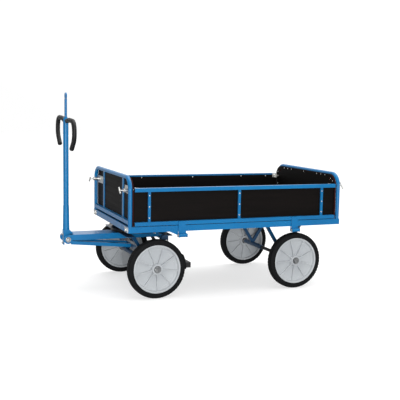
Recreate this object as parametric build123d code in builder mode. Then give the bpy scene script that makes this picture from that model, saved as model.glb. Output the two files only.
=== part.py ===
from build123d import *
import math
import os

# Hand-pulled garden cart: a plywood platform on a welded angle frame, two fixed end walls,
# two side walls that fold down, a ball-ring turntable for the front axle, four wheels,
# an upright drawbar with two grips and a brake beam behind the front wheels.
# +X points to the drawbar, +Y to the cart's left and +Z up. The floor is at z = 0 and the
# origin is midway between the foremost and the rearmost point, on the centre line.

os.makedirs("parts", exist_ok=True)

# ---- driving sizes, in millimetres ----
deck_length = 1590
deck_width = 960
deck_height = 495            # top of the angle frame above the floor
side_wall_height = 250
end_wall_top = 830           # above the floor
wheel_diameter = 400
tyre_width = 60
wheel_track = 870            # between the middles of the left and right tyres
front_axle_x = 588           # ahead of the deck's middle
rear_axle_x = 455            # behind the deck's middle
drawbar_x = 1106             # ahead of the deck's middle

# ---- deck ----
angle_leg = 40
angle_thick = 4
panel_thick = 15
panel_gap = 1
weld_gap = 0.1               # between the bars of a welded frame
crossmember_width = 40
crossmember_wall = 2
crossmember_mid_x = 90
screw_rows_y = (-300, 0, 300)
screw_radius = 3
screw_head_radius = 6
screw_length = 24
countersink_angle = 90

# ---- turntable ----
bolster_y = 130
bolster_width = 40
bolster_height = 35
bolster_length = 300
ring_outer = 190
ring_flange_width = 50
ring_thick = 4
ring_height = 21
race_outer = 178
race_inner = 168
race_wall = 5
ball_count = 24
ball_clearance = 0.3
race_gap = 2
bolt_circle = 151
bolt_turn = 35                # degrees from the cart's length to the first bolt
bolt_radius = 5
bolt_head_radius = 9
bolt_head_thick = 6

# ---- steering frame ----
steering_bar_thick = 6
steering_bar_width = 60
steering_bar_half = 290
tongue_half_width = 75
tongue_height = 40
tongue_wall = 5
tongue_tail = 180            # behind the steering axis
pivot_height = 360
ear_radius = 30
ear_setback = 4              # ear's straight edge behind the pivot
ear_foot_setback = 12
web_setback = 38             # web's front edge behind the drawbar's pivot
stay_size = 25
stay_front_z = 337
stay_rear_z = 297
stay_setback = 23
stay_clearance = 2
tie_beam_size = 30

# ---- axles ----
axle_diameter = 25
axle_end_inset = 4.5         # behind the nut's outer face
sleeve_radius = 17
sleeve_inner_end = 88
sleeve_outer_end = 380
brace_y = 260
brace_size = 22
brace_overrun = 40           # cut off level with the frame above
rear_brace_spread = 178
front_brace_spread = 135
brace_foot_lift = 12
shaft_chamfer = 1.5
collar_radius = 20
washer_radius = 22
washer_thick = 3
nut_radius = 19
nut_length = 9
side_play = 0.5
running_clearance = 0.05

# ---- wheels ----
tyre_height = 36             # from the rim's lip to the tread
tyre_bead_depth = 6
rim_barrel_wall = 8
rim_flange = 4
rim_half_width = 29
disc_thick = 8
rib_count = 9
front_rib_turn = 27          # degrees from the cart's length to the first rib
rear_rib_turn = 36
rib_thick = 6
rib_half_height = 19
hub_radius = 36
hub_draft = 3                # boss wider at the disc
hub_half_length = 33
bush_radius = 20
bush_flange = 2
bush_flange_radius = 24
tyre_seat_step = 4           # rubber beyond the rim's lip
shoulder_drop = 4
shoulder_height = 12
shoulder_inset = 3
tread_crown_half = 20
tread_crown = 0.6

# ---- side walls ----
wall_tube = 25
wall_tube_wall = 2
wall_floor_gap = 4
wall_proud = 1               # outer face beyond the deck frame
wall_end_gap = 4
wall_post_x = 649
wall_post_width = 18
wall_post_depth = 12
wall_panel_thick = 12
panel_top_drop = 12          # side panel's top below the rail's top
rivet_edge_gap = 2
hinge_x = 425
strap_width = 50
strap_thick = 6
hinge_pin_radius = 6
knuckle_radius = 12
hinge_out = 22               # pin beyond the deck frame's face
hinge_z = 430
knuckle_gap = 0.5
cheek_thick = 5
pin_head_radius = 9
pin_head_length = 4
gusset_length = 55
rivet_radius = 5
rivet_height = 2.5
pin_tail = 3                 # pin beyond its bracket

# ---- end walls ----
hoop_radius = 13.5
hoop_wall = 2
hoop_bend = 85
end_rail_z = 510
end_post_inset = 184         # from the side wall's inner face
end_post_width = 30
end_post_thick = 6
end_panel_inset = 4          # panel's edge inside the hoop's centre line
end_rivet_inset = 33
end_rivet_drop = 15
end_rivet_spacing = 60
corner_rivet_inset = 15
corner_rivet_rise = 34
corner_rivet_fall = 60
rope_hole_inset = 51
rope_hole_z = 780
rope_hole_radius = 11
clamp_inset = 48             # from the deck frame's side
clamp_width = 76
clamp_height = 36
clamp_thick = 4
clamp_bolt_radius = 5
clamp_head_radius = 9
clamp_head_length = 7

# ---- spring bolts that lock the side walls ----
latch_inset = 22             # from the side wall's inner face
latch_z = 731
latch_pin_radius = 6
latch_stem_radius = 4
latch_reach = 50             # handle's tip beyond the end wall's outer face
latch_plate_width = 140
latch_plate_height = 52
latch_plate_shift = 50
latch_plate_thick = 4
latch_barrel_radius = 13
latch_barrel_reach = 18
latch_collar_radius = 9
latch_collar_length = 4
latch_end_thick = 3
latch_play = 0.3
latch_handle_radius = 5.5
latch_handle_length = 54
latch_handle_slant = 45      # degrees
latch_nose = 2               # pin beyond the keeper
keeper_thick = 5
keeper_height = 32
keeper_inset = 16            # tab behind the side wall's end
keeper_reach = 36
keeper_hole_play = 0.8
keeper_foot_length = 20
keeper_foot_thick = 3

# ---- drawbar ----
drawbar_radius = 18.5
drawbar_wall = 2.6
drawbar_top = 1180
foot_top = 590
foot_top_wall = 1.5          # sleeve round the tube
foot_bottom = 420
foot_bottom_wall = 4.5
foot_half_width = 22
pivot_bolt_radius = 10
pivot_tube_radius = 18
pivot_tube_half = 38
pivot_washer_radius = 19
pivot_washer_thick = 3
pivot_nut_radius = 17
pivot_nut_length = 12
pivot_bolt_tail = 18
foot_plate_front = 22
foot_plate_thick = 6
foot_plate_half = 45
foot_bolt_spacing = 60
foot_bolt_head = 10
foot_bolt_radius = 8
foot_plate_step = 6
heel_back = 46
heel_gap = 0.3
heel_rise = 14
heel_step = 4
horn_radius = 10
horn_root = (0, 1166)        # across the cart, above the floor
horn_crown = (110, 1184)
horn_shoulder = (278, 1184)
horn_waist = (284, 1068)
horn_end = (203, 999)
horn_bends = [150, 68, 80]
horn_tilt = 2.5              # degrees off level, lower on the left
grip_start = 0.42            # share of the first straight that stays bare
grip_radius = 16
grip_cap = 6
eye_rod_radius = 9
eye_centre_z = 1341.5
eye_outer_radius = 22.5
eye_bore_radius = 12.5
eye_thick = 10
eye_cone_height = 22
eye_weld = 3
spring_wire = 2
spring_coil_radius = 21
spring_turns = 5
spring_inner_y = 41

# ---- brake ----
brake_pivot_x = 148          # behind the steering axis
brake_pivot_z = 345
brake_shaft_radius = 8
brake_arm_y = 200
brake_arm_thick = 8
brake_arm_width = 28
brake_hub_radius = 16
brake_beam_size = 36
brake_beam_wall = 3
brake_beam_overhang = 15     # beyond the tyre's middle
brake_beam_rise = 15         # above the axle
brake_lining_gap = 0.6
brake_shoe_thick = 6
brake_shoe_width = 50
brake_shoe_low = -3          # degrees from level, behind the axle
brake_shoe_high = 26
brake_lug_thick = 6
brake_lug_half = 14
brake_lug_drop = 12
brake_lug_gap = 1
brake_shaft_tail = 3

# ---- places worked out from the sizes ----
front_reach = drawbar_x + foot_plate_front + foot_bolt_head
rear_reach = deck_length / 2 + latch_reach
deck_x = (rear_reach - front_reach) / 2
steer_x = deck_x + front_axle_x
rear_x = deck_x - rear_axle_x
pivot_x = deck_x + drawbar_x
axle_z = wheel_diameter / 2
foot_top_radius = drawbar_radius + foot_top_wall
foot_bottom_radius = drawbar_radius + foot_bottom_wall
wheel_y = wheel_track / 2
rim_radius = wheel_diameter / 2 - tyre_height
rim_seat_radius = rim_radius - tyre_bead_depth
nut_seat_y = wheel_y + hub_half_length + bush_flange + side_play + washer_thick
axle_half_length = nut_seat_y + nut_length - axle_end_inset
half_length = deck_length / 2
half_width = deck_width / 2
frame_bottom = deck_height - angle_leg
panel_bottom = deck_height - panel_thick
crossmember_height = panel_bottom - frame_bottom
inner_half_length = half_length - angle_leg
inner_half_width = half_width - angle_leg
ring_top = frame_bottom - bolster_height
ring_bottom = ring_top - ring_height
steering_bar_z = ring_bottom - steering_bar_thick / 2
tongue_top = ring_bottom - steering_bar_thick
tongue_bottom = tongue_top - tongue_height
wall_bottom = deck_height + wall_floor_gap
wall_top = wall_bottom + side_wall_height
wall_face_y = half_width + wall_proud
wall_inner_y = wall_face_y - wall_tube - wall_panel_thick
end_post_y = wall_inner_y - end_post_inset
end_rivet_y = wall_inner_y - end_rivet_inset
corner_rivet_y = wall_inner_y - corner_rivet_inset
rope_hole_y = wall_inner_y - rope_hole_inset
latch_y = wall_inner_y - latch_inset
clamp_y = half_width - clamp_inset
hoop_x = half_length - hoop_radius
hoop_y = half_width - hoop_radius
hoop_z = end_wall_top - hoop_radius
wall_half_length = half_length - 2 * hoop_radius - wall_panel_thick - wall_end_gap
wall_post_face_y = wall_inner_y + wall_panel_thick + wall_post_depth
end_panel_half = hoop_y - end_panel_inset
end_panel_top = hoop_z - end_panel_inset
end_panel_corner = hoop_bend - end_panel_inset
end_panel_inner = half_length - 2 * hoop_radius - wall_panel_thick
hinge_y = half_width + hinge_out
hub_face = wheel_y - hub_half_length
crossmember_x = (
    rear_x - rear_brace_spread,
    rear_x + rear_brace_spread,
    deck_x + crossmember_mid_x,
    steer_x - front_brace_spread,
    steer_x + front_brace_spread,
)
clamp_z = frame_bottom + clamp_height / 2
brake_beam_half = wheel_y + brake_beam_overhang
brake_beam_z = axle_z + brake_beam_rise
lining_radius = wheel_diameter / 2 + brake_lining_gap
brake_beam_x = steer_x - lining_radius - brake_shoe_thick - brake_beam_size / 2
brake_hinge_x = steer_x - brake_pivot_x
brake_lug_y = brake_arm_thick / 2 + brake_lug_gap + brake_lug_thick / 2
crossmember_z = frame_bottom + crossmember_height / 2
front_brace_rise = (stay_rear_z - axle_z - brace_foot_lift) / (
    tongue_top + brace_overrun - axle_z - brace_foot_lift)
tie_beam_x = steer_x + front_brace_spread * front_brace_rise
hinge_half = strap_width / 2 + knuckle_gap + cheek_thick


def save(piece, name):
    piece.part.label = name
    export_step(piece.part, f"parts/{name}.step")


def hollow_bar(start, end, width, depth, wall, side=(0, 1, 0)):
    """Rectangular tube from start to end; width lies along the side direction."""
    run = Vector(*end) - Vector(*start)
    with BuildSketch(Plane(origin=start, x_dir=side, z_dir=run)) as section:
        Rectangle(width, depth)
        Rectangle(width - 2 * wall, depth - 2 * wall, mode=Mode.SUBTRACT)
    extrude(section.sketch, amount=run.length)


def rod(start, end, radius, mode=Mode.ADD):
    """Round bar from start to end."""
    run = Vector(*end) - Vector(*start)
    with BuildSketch(Plane(origin=start, z_dir=run)) as section:
        Circle(radius)
    extrude(section.sketch, amount=run.length, mode=mode)


def hex_bar(start, end, radius):
    """Six-sided bar from start to end, radius to its corners."""
    run = Vector(*end) - Vector(*start)
    with BuildSketch(Plane(origin=start, z_dir=run)) as section:
        RegularPolygon(radius, 6)
    extrude(section.sketch, amount=run.length)


def side_plate(points, y_middle, thick, mode=Mode.ADD):
    """Plate standing along the cart, outlined by (x, z) points."""
    with BuildSketch(Plane(origin=(0, y_middle, 0), x_dir=(1, 0, 0), z_dir=(0, -1, 0))) as outline:
        with BuildLine():
            Polyline(*points, close=True)
        make_face()
    extrude(outline.sketch, amount=thick / 2, both=True, mode=mode)


def tube_section(radius, wall):
    """Ring-shaped section of a round tube."""
    Circle(radius)
    Circle(radius - wall, mode=Mode.SUBTRACT)


# ---------------------------------------------------------------- deck
with BuildPart() as deck_frame:
    leg = angle_leg
    thick = angle_thick
    for side in (1, -1):
        with Locations((deck_x, side * (half_width - thick / 2), deck_height - leg / 2)):
            Box(deck_length, thick, leg)
        with Locations((deck_x, side * (half_width - leg / 2), deck_height - thick / 2)):
            Box(deck_length, leg, thick)
    for end in (1, -1):
        low_height = leg - thick - weld_gap
        with Locations((deck_x + end * (half_length - thick / 2), 0, frame_bottom + low_height / 2)):
            Box(thick, 2 * (half_width - thick - weld_gap), low_height)
        with Locations((deck_x + end * (half_length - thick / 2), 0, deck_height - leg / 2)):
            Box(thick, 2 * (inner_half_width - weld_gap), leg)
        with Locations((deck_x + end * (half_length - leg / 2), 0, deck_height - thick / 2)):
            Box(leg, 2 * (inner_half_width - weld_gap), thick)
    for end in (1, -1):
        for side in (1, -1):
            start = (deck_x + end * (half_length - thick - 1), side * clamp_y, clamp_z)
            rod(start, (start[0] + end * 2 * thick, start[1], start[2]), clamp_bolt_radius, Mode.SUBTRACT)
save(deck_frame, "deck_frame")

with BuildPart() as deck_panel:
    with Locations((deck_x, 0, panel_bottom + panel_thick / 2)):
        Box(2 * (inner_half_length - panel_gap), 2 * (inner_half_width - panel_gap), panel_thick)
    for x in crossmember_x:
        for y in screw_rows_y:
            with Locations((x, y, deck_height)):
                CounterSinkHole(screw_radius, screw_head_radius, counter_sink_angle=countersink_angle)
save(deck_panel, "deck_panel")

with BuildPart() as deck_crossmembers:
    reach = half_width - angle_thick - weld_gap
    for x in crossmember_x:
        hollow_bar((x, -reach, crossmember_z), (x, reach, crossmember_z), crossmember_width,
                   crossmember_height, crossmember_wall, (1, 0, 0))
        for y in screw_rows_y:
            rod((x, y, crossmember_z), (x, y, panel_bottom + 1), screw_radius, Mode.SUBTRACT)
    for side in (1, -1):
        z = ring_top + (bolster_height - weld_gap) / 2
        hollow_bar((steer_x - bolster_length / 2, side * bolster_y, z),
                   (steer_x + bolster_length / 2, side * bolster_y, z),
                   bolster_width, bolster_height - weld_gap, crossmember_wall)
save(deck_crossmembers, "deck_crossmembers")

with BuildPart() as deck_screws:
    for x in crossmember_x:
        for y in screw_rows_y:
            head_depth = screw_head_radius - screw_radius
            with Locations((x, y, deck_height - head_depth / 2)):
                Cone(screw_radius, screw_head_radius, head_depth)
            rod((x, y, deck_height - screw_length), (x, y, deck_height - head_depth), screw_radius)
save(deck_screws, "deck_screws")


# ---------------------------------------------------------------- turntable
def ring_half(points, name):
    """Turned ring about the steering axis from (radius, z) points."""
    with BuildPart() as ring:
        with BuildSketch(Plane(origin=(steer_x, 0, 0), x_dir=(1, 0, 0), z_dir=(0, -1, 0))):
            with BuildLine():
                Polyline(*points, close=True)
            make_face()
        revolve(axis=Axis((steer_x, 0, 0), (0, 0, 1)))
        with Locations(Plane.XY.offset(ring_bottom + ring_height / 2)):
            with Locations((steer_x, 0)):
                with PolarLocations(bolt_circle, 4, start_angle=bolt_turn):
                    Hole(bolt_radius)
    save(ring, name)


flange_inner = ring_outer - ring_flange_width
ring_half(
    [
        (flange_inner, ring_top), (ring_outer, ring_top),
        (ring_outer, ring_bottom + ring_thick + race_gap),
        (race_outer, ring_bottom + ring_thick + race_gap),
        (race_outer, ring_top - ring_thick), (flange_inner, ring_top - ring_thick),
    ],
    "turntable_top_ring",
)
ring_half(
    [
        (flange_inner, ring_bottom), (ring_outer, ring_bottom),
        (ring_outer, ring_bottom + ring_thick), (race_inner, ring_bottom + ring_thick),
        (race_inner, ring_top - ring_thick - race_gap),
        (race_inner - race_wall, ring_top - ring_thick - race_gap),
        (race_inner - race_wall, ring_bottom + ring_thick), (flange_inner, ring_bottom + ring_thick),
    ],
    "turntable_bottom_ring",
)

with BuildPart() as turntable_balls:
    ball_radius = (race_outer - race_inner) / 2 - ball_clearance
    with Locations((steer_x, 0, ring_bottom + ring_height / 2)):
        with PolarLocations((race_outer + race_inner) / 2, ball_count):
            Sphere(ball_radius)
save(turntable_balls, "turntable_balls")


# ---------------------------------------------------------------- axles
def axle_frame(x, top, spread, name, tie_beam):
    """Two sleeves on the axle, each held by a V of square tubes; the front one has a tie beam."""
    with BuildPart() as frame:
        for side in (1, -1):
            for end in (1, -1):
                hollow_bar((x, side * brace_y, axle_z + brace_foot_lift),
                           (x + end * spread, side * brace_y, top + brace_overrun),
                           brace_size, brace_size, crossmember_wall)
        with Locations((x, 0, top + brace_overrun)):
            Box(4 * spread, 2 * steering_bar_half, 2 * brace_overrun, mode=Mode.SUBTRACT)
        for side in (1, -1):
            with Locations((x, side * brace_y, (axle_z + top) / 2)):
                Box(weld_gap, brace_size, top, mode=Mode.SUBTRACT)
            rod((x, side * sleeve_inner_end, axle_z), (x, side * sleeve_outer_end, axle_z),
                sleeve_radius + weld_gap, Mode.SUBTRACT)
        if tie_beam:
            reach = brace_y - brace_size / 2 - weld_gap
            hollow_bar((tie_beam_x, -reach, stay_rear_z), (tie_beam_x, reach, stay_rear_z),
                       tie_beam_size, tie_beam_size, crossmember_wall, (1, 0, 0))
        for side in (1, -1):
            start = (x, side * sleeve_inner_end, axle_z)
            stop = (x, side * sleeve_outer_end, axle_z)
            rod(start, stop, sleeve_radius)
            rod(start, stop, axle_diameter / 2, Mode.SUBTRACT)
    save(frame, name)


axle_frame(rear_x, frame_bottom, rear_brace_spread, "rear_axle_frame", False)
axle_frame(steer_x, tongue_top, front_brace_spread, "front_axle_frame", True)

for place, x in (("rear", rear_x), ("front", steer_x)):
    with BuildPart() as shaft:
        rod((x, -axle_half_length, axle_z), (x, axle_half_length, axle_z), axle_diameter / 2)
        chamfer(shaft.edges().filter_by(GeomType.CIRCLE), shaft_chamfer)
    save(shaft, f"{place}_axle_shaft")

    with BuildPart() as nuts:
        for side in (1, -1):
            inner = hub_face - bush_flange - side_play
            outer = nut_seat_y - washer_thick
            rod((x, side * (sleeve_outer_end + weld_gap), axle_z), (x, side * inner, axle_z),
                collar_radius)
            rod((x, side * outer, axle_z), (x, side * nut_seat_y, axle_z), washer_radius)
            hex_bar((x, side * nut_seat_y, axle_z), (x, side * (nut_seat_y + nut_length), axle_z),
                    nut_radius)
        reach = nut_seat_y + 2 * nut_length
        rod((x, -reach, axle_z), (x, reach, axle_z), axle_diameter / 2, Mode.SUBTRACT)
    save(nuts, f"{place}_axle_nuts")


# ---------------------------------------------------------------- wheels
def wheel(x, side, turn, name):
    """Rubber tyre, ribbed plastic rim and hub bush on an axle along Y."""
    centre = (x, side * wheel_y, axle_z)
    section = Plane(origin=centre, x_dir=(0, 1, 0), z_dir=(1, 0, 0))
    spin = Axis(centre, (0, 1, 0))
    half = tyre_width / 2
    bead = rim_half_width - rim_flange

    with BuildPart() as tyre:
        outer = wheel_diameter / 2
        lip = rim_radius + tyre_seat_step
        low_shoulder = outer - shoulder_drop - shoulder_height
        high_shoulder = outer - shoulder_drop - shoulder_inset
        crown_edge = outer - tread_crown
        with BuildSketch(section):
            with BuildLine():
                Polyline((-half, low_shoulder), (-half, lip), (-rim_half_width, rim_radius),
                         (-bead, rim_radius), (-bead, rim_seat_radius), (bead, rim_seat_radius),
                         (bead, rim_radius), (rim_half_width, rim_radius), (half, lip),
                         (half, low_shoulder))
                ThreePointArc((half, low_shoulder), (half - shoulder_inset, high_shoulder),
                              (tread_crown_half, crown_edge))
                ThreePointArc((tread_crown_half, crown_edge), (0, outer), (-tread_crown_half, crown_edge))
                ThreePointArc((-tread_crown_half, crown_edge), (shoulder_inset - half, high_shoulder),
                              (-half, low_shoulder))
            make_face()
        revolve(axis=spin)
    save(tyre, f"{name}_tyre")

    with BuildPart() as rim:
        barrel_inner = rim_seat_radius - rim_barrel_wall
        with BuildSketch(section):
            with BuildLine():
                Polyline((-hub_half_length, bush_radius), (hub_half_length, bush_radius),
                         (hub_half_length, hub_radius), (disc_thick / 2, hub_radius + hub_draft),
                         (disc_thick / 2, barrel_inner), (rim_half_width, barrel_inner),
                         (rim_half_width, rim_radius), (bead, rim_radius), (bead, rim_seat_radius),
                         (-bead, rim_seat_radius), (-bead, rim_radius), (-rim_half_width, rim_radius),
                         (-rim_half_width, barrel_inner), (-disc_thick / 2, barrel_inner),
                         (-disc_thick / 2, hub_radius + hub_draft), (-hub_half_length, hub_radius),
                         close=True)
            make_face()
        revolve(axis=spin)
        rib_length = barrel_inner - hub_radius + rim_flange
        with Locations(Plane(origin=centre, x_dir=(1, 0, 0), z_dir=(0, 1, 0))):
            with PolarLocations((barrel_inner + hub_radius) / 2, rib_count, start_angle=-turn):
                Box(rib_length, rib_thick, 2 * rib_half_height)
    save(rim, f"{name}_rim")

    with BuildPart() as bush:
        reach = hub_half_length + bush_flange
        middle = side * wheel_y
        rod((x, middle - hub_half_length, axle_z), (x, middle + hub_half_length, axle_z), bush_radius)
        for end in (1, -1):
            rod((x, middle + end * hub_half_length, axle_z), (x, middle + end * reach, axle_z),
                bush_flange_radius)
        rod((x, middle - reach, axle_z), (x, middle + reach, axle_z),
            axle_diameter / 2 + running_clearance, Mode.SUBTRACT)
    save(bush, f"{name}_hub_bush")


wheel(steer_x, 1, front_rib_turn, "front_left")
wheel(steer_x, -1, front_rib_turn, "front_right")
wheel(rear_x, 1, rear_rib_turn, "rear_left")
wheel(rear_x, -1, rear_rib_turn, "rear_right")


# ---------------------------------------------------------------- end walls
def end_wall(end, name):
    """Bent-tube hoop with a rail and two flat posts, and the plywood panel on its inner side."""
    x = deck_x + end * hoop_x
    middle_z = end_rail_z + wall_tube / 2
    low_z = end_rail_z + wall_tube + weld_gap
    panel_face = deck_x + end * (end_panel_inner + wall_panel_thick)
    with BuildPart() as frame:
        hollow_bar((x, -hoop_y, middle_z), (x, hoop_y, middle_z), wall_tube, wall_tube, wall_tube_wall,
                   (1, 0, 0))
        for side in (1, -1):
            with Locations((panel_face + end * end_post_thick / 2, side * end_post_y,
                            (low_z + hoop_z) / 2)):
                Box(end_post_thick, end_post_width, hoop_z - low_z)
        with BuildLine(Plane(origin=(x, 0, 0), x_dir=(0, 1, 0), z_dir=(1, 0, 0))) as path:
            FilletPolyline((-hoop_y, deck_height), (-hoop_y, hoop_z), (hoop_y, hoop_z),
                           (hoop_y, deck_height), radius=hoop_bend)
        with BuildSketch(Plane(origin=(x, -hoop_y, deck_height), z_dir=(0, 0, 1))) as bore:
            Circle(hoop_radius + weld_gap)
        sweep(bore.sketch, path=path.wire(), mode=Mode.SUBTRACT)
        with BuildSketch(Plane(origin=(x, -hoop_y, deck_height), z_dir=(0, 0, 1))) as ring:
            tube_section(hoop_radius, hoop_wall)
        sweep(ring.sketch, path=path.wire())
    save(frame, f"{name}_wall_frame")

    with BuildPart() as panel:
        inner = deck_x + end * end_panel_inner
        panel_low = deck_height + panel_gap
        with BuildSketch(Plane(origin=(inner, 0, 0), x_dir=(0, 1, 0), z_dir=(1, 0, 0))) as outline:
            with Locations((0, (panel_low + end_panel_top) / 2)):
                Rectangle(2 * end_panel_half, end_panel_top - panel_low)
            fillet(outline.vertices().group_by(Axis.Y)[-1], end_panel_corner)
        extrude(amount=end * wall_panel_thick)
        start_x = inner - end
        stop_x = inner + end * 2 * wall_panel_thick
        for side in (1, -1):
            rod((start_x, side * latch_y, latch_z), (stop_x, side * latch_y, latch_z),
                latch_pin_radius + latch_play, Mode.SUBTRACT)
            rod((start_x, side * rope_hole_y, rope_hole_z), (stop_x, side * rope_hole_y, rope_hole_z),
                rope_hole_radius, Mode.SUBTRACT)
    save(panel, f"{name}_wall_panel")


end_wall(1, "front")
end_wall(-1, "rear")


def rivet_head(base, outward):
    """Low round head standing on a panel; outward is the unit direction it faces."""
    tip = tuple(b + rivet_height * o for b, o in zip(base, outward))
    rod(base, tip, rivet_radius)


with BuildPart() as end_wall_rivets:
    for end in (1, -1):
        face_x = deck_x + end * end_panel_inner
        for y in (-end_rivet_y, -end_post_y, 0, end_post_y, end_rivet_y):
            rivet_head((face_x, y, end_rail_z + wall_tube / 2), (-end, 0, 0))
        for y in (-end_rivet_spacing, 0, end_rivet_spacing):
            for middle in (-end_post_y, end_post_y):
                rivet_head((face_x, middle + y, hoop_z - end_rivet_drop), (-end, 0, 0))
        rivet_head((face_x, 0, hoop_z - end_rivet_drop), (-end, 0, 0))
        for side in (1, -1):
            for z in (latch_z + corner_rivet_rise, latch_z - corner_rivet_fall):
                rivet_head((face_x, side * corner_rivet_y, z), (-end, 0, 0))
save(end_wall_rivets, "end_wall_rivets")

with BuildPart() as wall_clamps:
    for end in (1, -1):
        for side in (1, -1):
            face = deck_x + end * half_length
            outer = face + end * clamp_thick
            inner = face - end * angle_thick
            y = side * clamp_y
            with Locations((face + end * clamp_thick / 2, y, clamp_z)):
                Box(clamp_thick, clamp_width, clamp_height)
            hex_bar((outer, y, clamp_z), (outer + end * clamp_head_length, y, clamp_z), clamp_head_radius)
            hex_bar((inner, y, clamp_z), (inner - end * clamp_head_length, y, clamp_z), clamp_head_radius)
            rod((inner, y, clamp_z), (outer, y, clamp_z), clamp_bolt_radius)
save(wall_clamps, "wall_clamps")


# ---------------------------------------------------------------- spring bolts
stem_end = half_length + latch_reach - latch_handle_radius
barrel_end = half_length + latch_barrel_reach
plate_outer = end_panel_inner + wall_panel_thick + latch_plate_thick
collar_start = plate_outer + 1

with BuildPart() as latch_housings:
    for end in (1, -1):
        for side in (1, -1):
            y = side * latch_y
            base = deck_x + end * (end_panel_inner + wall_panel_thick)
            tip = deck_x + end * barrel_end
            with Locations((base + end * latch_plate_thick / 2, side * (latch_y - latch_plate_shift),
                            latch_z)):
                Box(latch_plate_thick, latch_plate_width, latch_plate_height)
            rod((base, y, latch_z), (tip, y, latch_z), latch_barrel_radius)
            rod((base - end, y, latch_z), (deck_x + end * collar_start, y, latch_z),
                latch_pin_radius + running_clearance, Mode.SUBTRACT)
            rod((deck_x + end * (collar_start - latch_play), y, latch_z),
                (tip - end * latch_end_thick, y, latch_z), latch_collar_radius + latch_play, Mode.SUBTRACT)
            rod((tip - end * (latch_end_thick + 1), y, latch_z), (tip + end, y, latch_z),
                latch_stem_radius + running_clearance, Mode.SUBTRACT)
save(latch_housings, "latch_housings")


def spring_bolt(end, side, name):
    """Locking pin with its collar, stem and slanted pull bar, drawn in the locked position."""
    y = side * latch_y

    def at(distance):
        return (deck_x + end * distance, y, latch_z)

    with BuildPart() as bolt:
        nose = wall_half_length - keeper_inset - keeper_thick - latch_nose
        rod(at(nose), at(collar_start), latch_pin_radius)
        rod(at(collar_start), at(collar_start + latch_collar_length), latch_collar_radius)
        rod(at(collar_start + latch_collar_length), at(stem_end), latch_stem_radius)
        across = latch_handle_length / 2 * math.cos(math.radians(latch_handle_slant))
        rise = latch_handle_length / 2 * math.sin(math.radians(latch_handle_slant))
        x = deck_x + end * stem_end
        rod((x, y + side * across, latch_z - rise), (x, y - side * across, latch_z + rise),
            latch_handle_radius)
    save(bolt, f"{name}_latch_bolt")


spring_bolt(1, 1, "front_left")
spring_bolt(1, -1, "front_right")
spring_bolt(-1, 1, "rear_left")
spring_bolt(-1, -1, "rear_right")


# ---------------------------------------------------------------- side walls
def side_wall(side, name):
    """Folding wall: square-tube frame with hinge straps, plywood inside, keepers and rivets."""
    tube_y = side * (wall_face_y - wall_tube / 2)
    low_z = wall_bottom + wall_tube / 2
    panel_low = wall_bottom + panel_gap
    panel_high = wall_top - panel_top_drop
    high_z = wall_top - wall_tube / 2
    high_rivet_z = panel_high - rivet_radius - rivet_edge_gap
    with BuildPart() as frame:
        for z in (low_z, high_z):
            hollow_bar((deck_x - wall_half_length, tube_y, z), (deck_x + wall_half_length, tube_y, z),
                       wall_tube, wall_tube, wall_tube_wall)
        for x in (-wall_post_x, 0, wall_post_x):
            post_y = side * (wall_post_face_y - wall_post_depth / 2)
            hollow_bar((deck_x + x, post_y, wall_bottom + wall_tube + weld_gap),
                       (deck_x + x, post_y, wall_top - wall_tube - weld_gap), wall_post_depth,
                       wall_post_width, wall_tube_wall)
        for x in (-hinge_x, hinge_x):
            strap_top = wall_bottom + wall_tube
            with Locations((deck_x + x, side * (wall_face_y + strap_thick / 2),
                            (strap_top + hinge_z) / 2)):
                Box(strap_width, strap_thick, strap_top - hinge_z)
            with Locations((deck_x + x, side * (wall_face_y + hinge_y) / 2, hinge_z)):
                Box(strap_width, hinge_y - wall_face_y, 2 * knuckle_radius)
            knuckle_start = (deck_x + x - strap_width / 2, side * hinge_y, hinge_z)
            knuckle_stop = (deck_x + x + strap_width / 2, side * hinge_y, hinge_z)
            rod(knuckle_start, knuckle_stop, knuckle_radius)
            rod(knuckle_start, knuckle_stop, hinge_pin_radius + running_clearance, Mode.SUBTRACT)
    save(frame, f"{name}_wall_frame")

    with BuildPart() as panel:
        panel_y = side * (wall_inner_y + wall_panel_thick / 2)
        with Locations((deck_x, panel_y, (panel_low + panel_high) / 2)):
            Box(2 * (wall_half_length - panel_gap), wall_panel_thick, panel_high - panel_low)
    save(panel, f"{name}_wall_panel")

    with BuildPart() as keepers:
        for end in (1, -1):
            tab_x = deck_x + end * (wall_half_length - keeper_inset)
            z = wall_top - keeper_height / 2 - panel_gap
            reach_y = side * (wall_inner_y - keeper_reach / 2)
            with Locations((tab_x - end * keeper_thick / 2, reach_y, z)):
                Box(keeper_thick, keeper_reach, keeper_height)
            foot_length = keeper_thick + keeper_foot_length
            with Locations((tab_x - end * foot_length / 2, side * (wall_inner_y - keeper_foot_thick / 2), z)):
                Box(foot_length, keeper_foot_thick, keeper_height)
            rod((tab_x + end, side * latch_y, latch_z),
                (tab_x - end * 2 * keeper_thick, side * latch_y, latch_z),
                latch_pin_radius + keeper_hole_play, Mode.SUBTRACT)
    save(keepers, f"{name}_wall_keepers")

    with BuildPart() as rivets:
        for x in (-wall_post_x, 0, wall_post_x):
            middle_z = (wall_bottom + wall_top) / 2
            rivet_head((deck_x + x, side * wall_inner_y, middle_z), (0, -side, 0))
            for z in (wall_bottom + 2 * wall_tube, middle_z, wall_top - 2 * wall_tube):
                rivet_head((deck_x + x, side * wall_post_face_y, z), (0, side, 0))
        for x in (-wall_post_x, -hinge_x, 0, hinge_x, wall_post_x):
            rivet_head((deck_x + x, side * wall_inner_y, high_rivet_z), (0, -side, 0))
            rivet_head((deck_x + x, side * wall_inner_y, low_z), (0, -side, 0))
    save(rivets, f"{name}_wall_rivets")


side_wall(1, "left")
side_wall(-1, "right")

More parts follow.
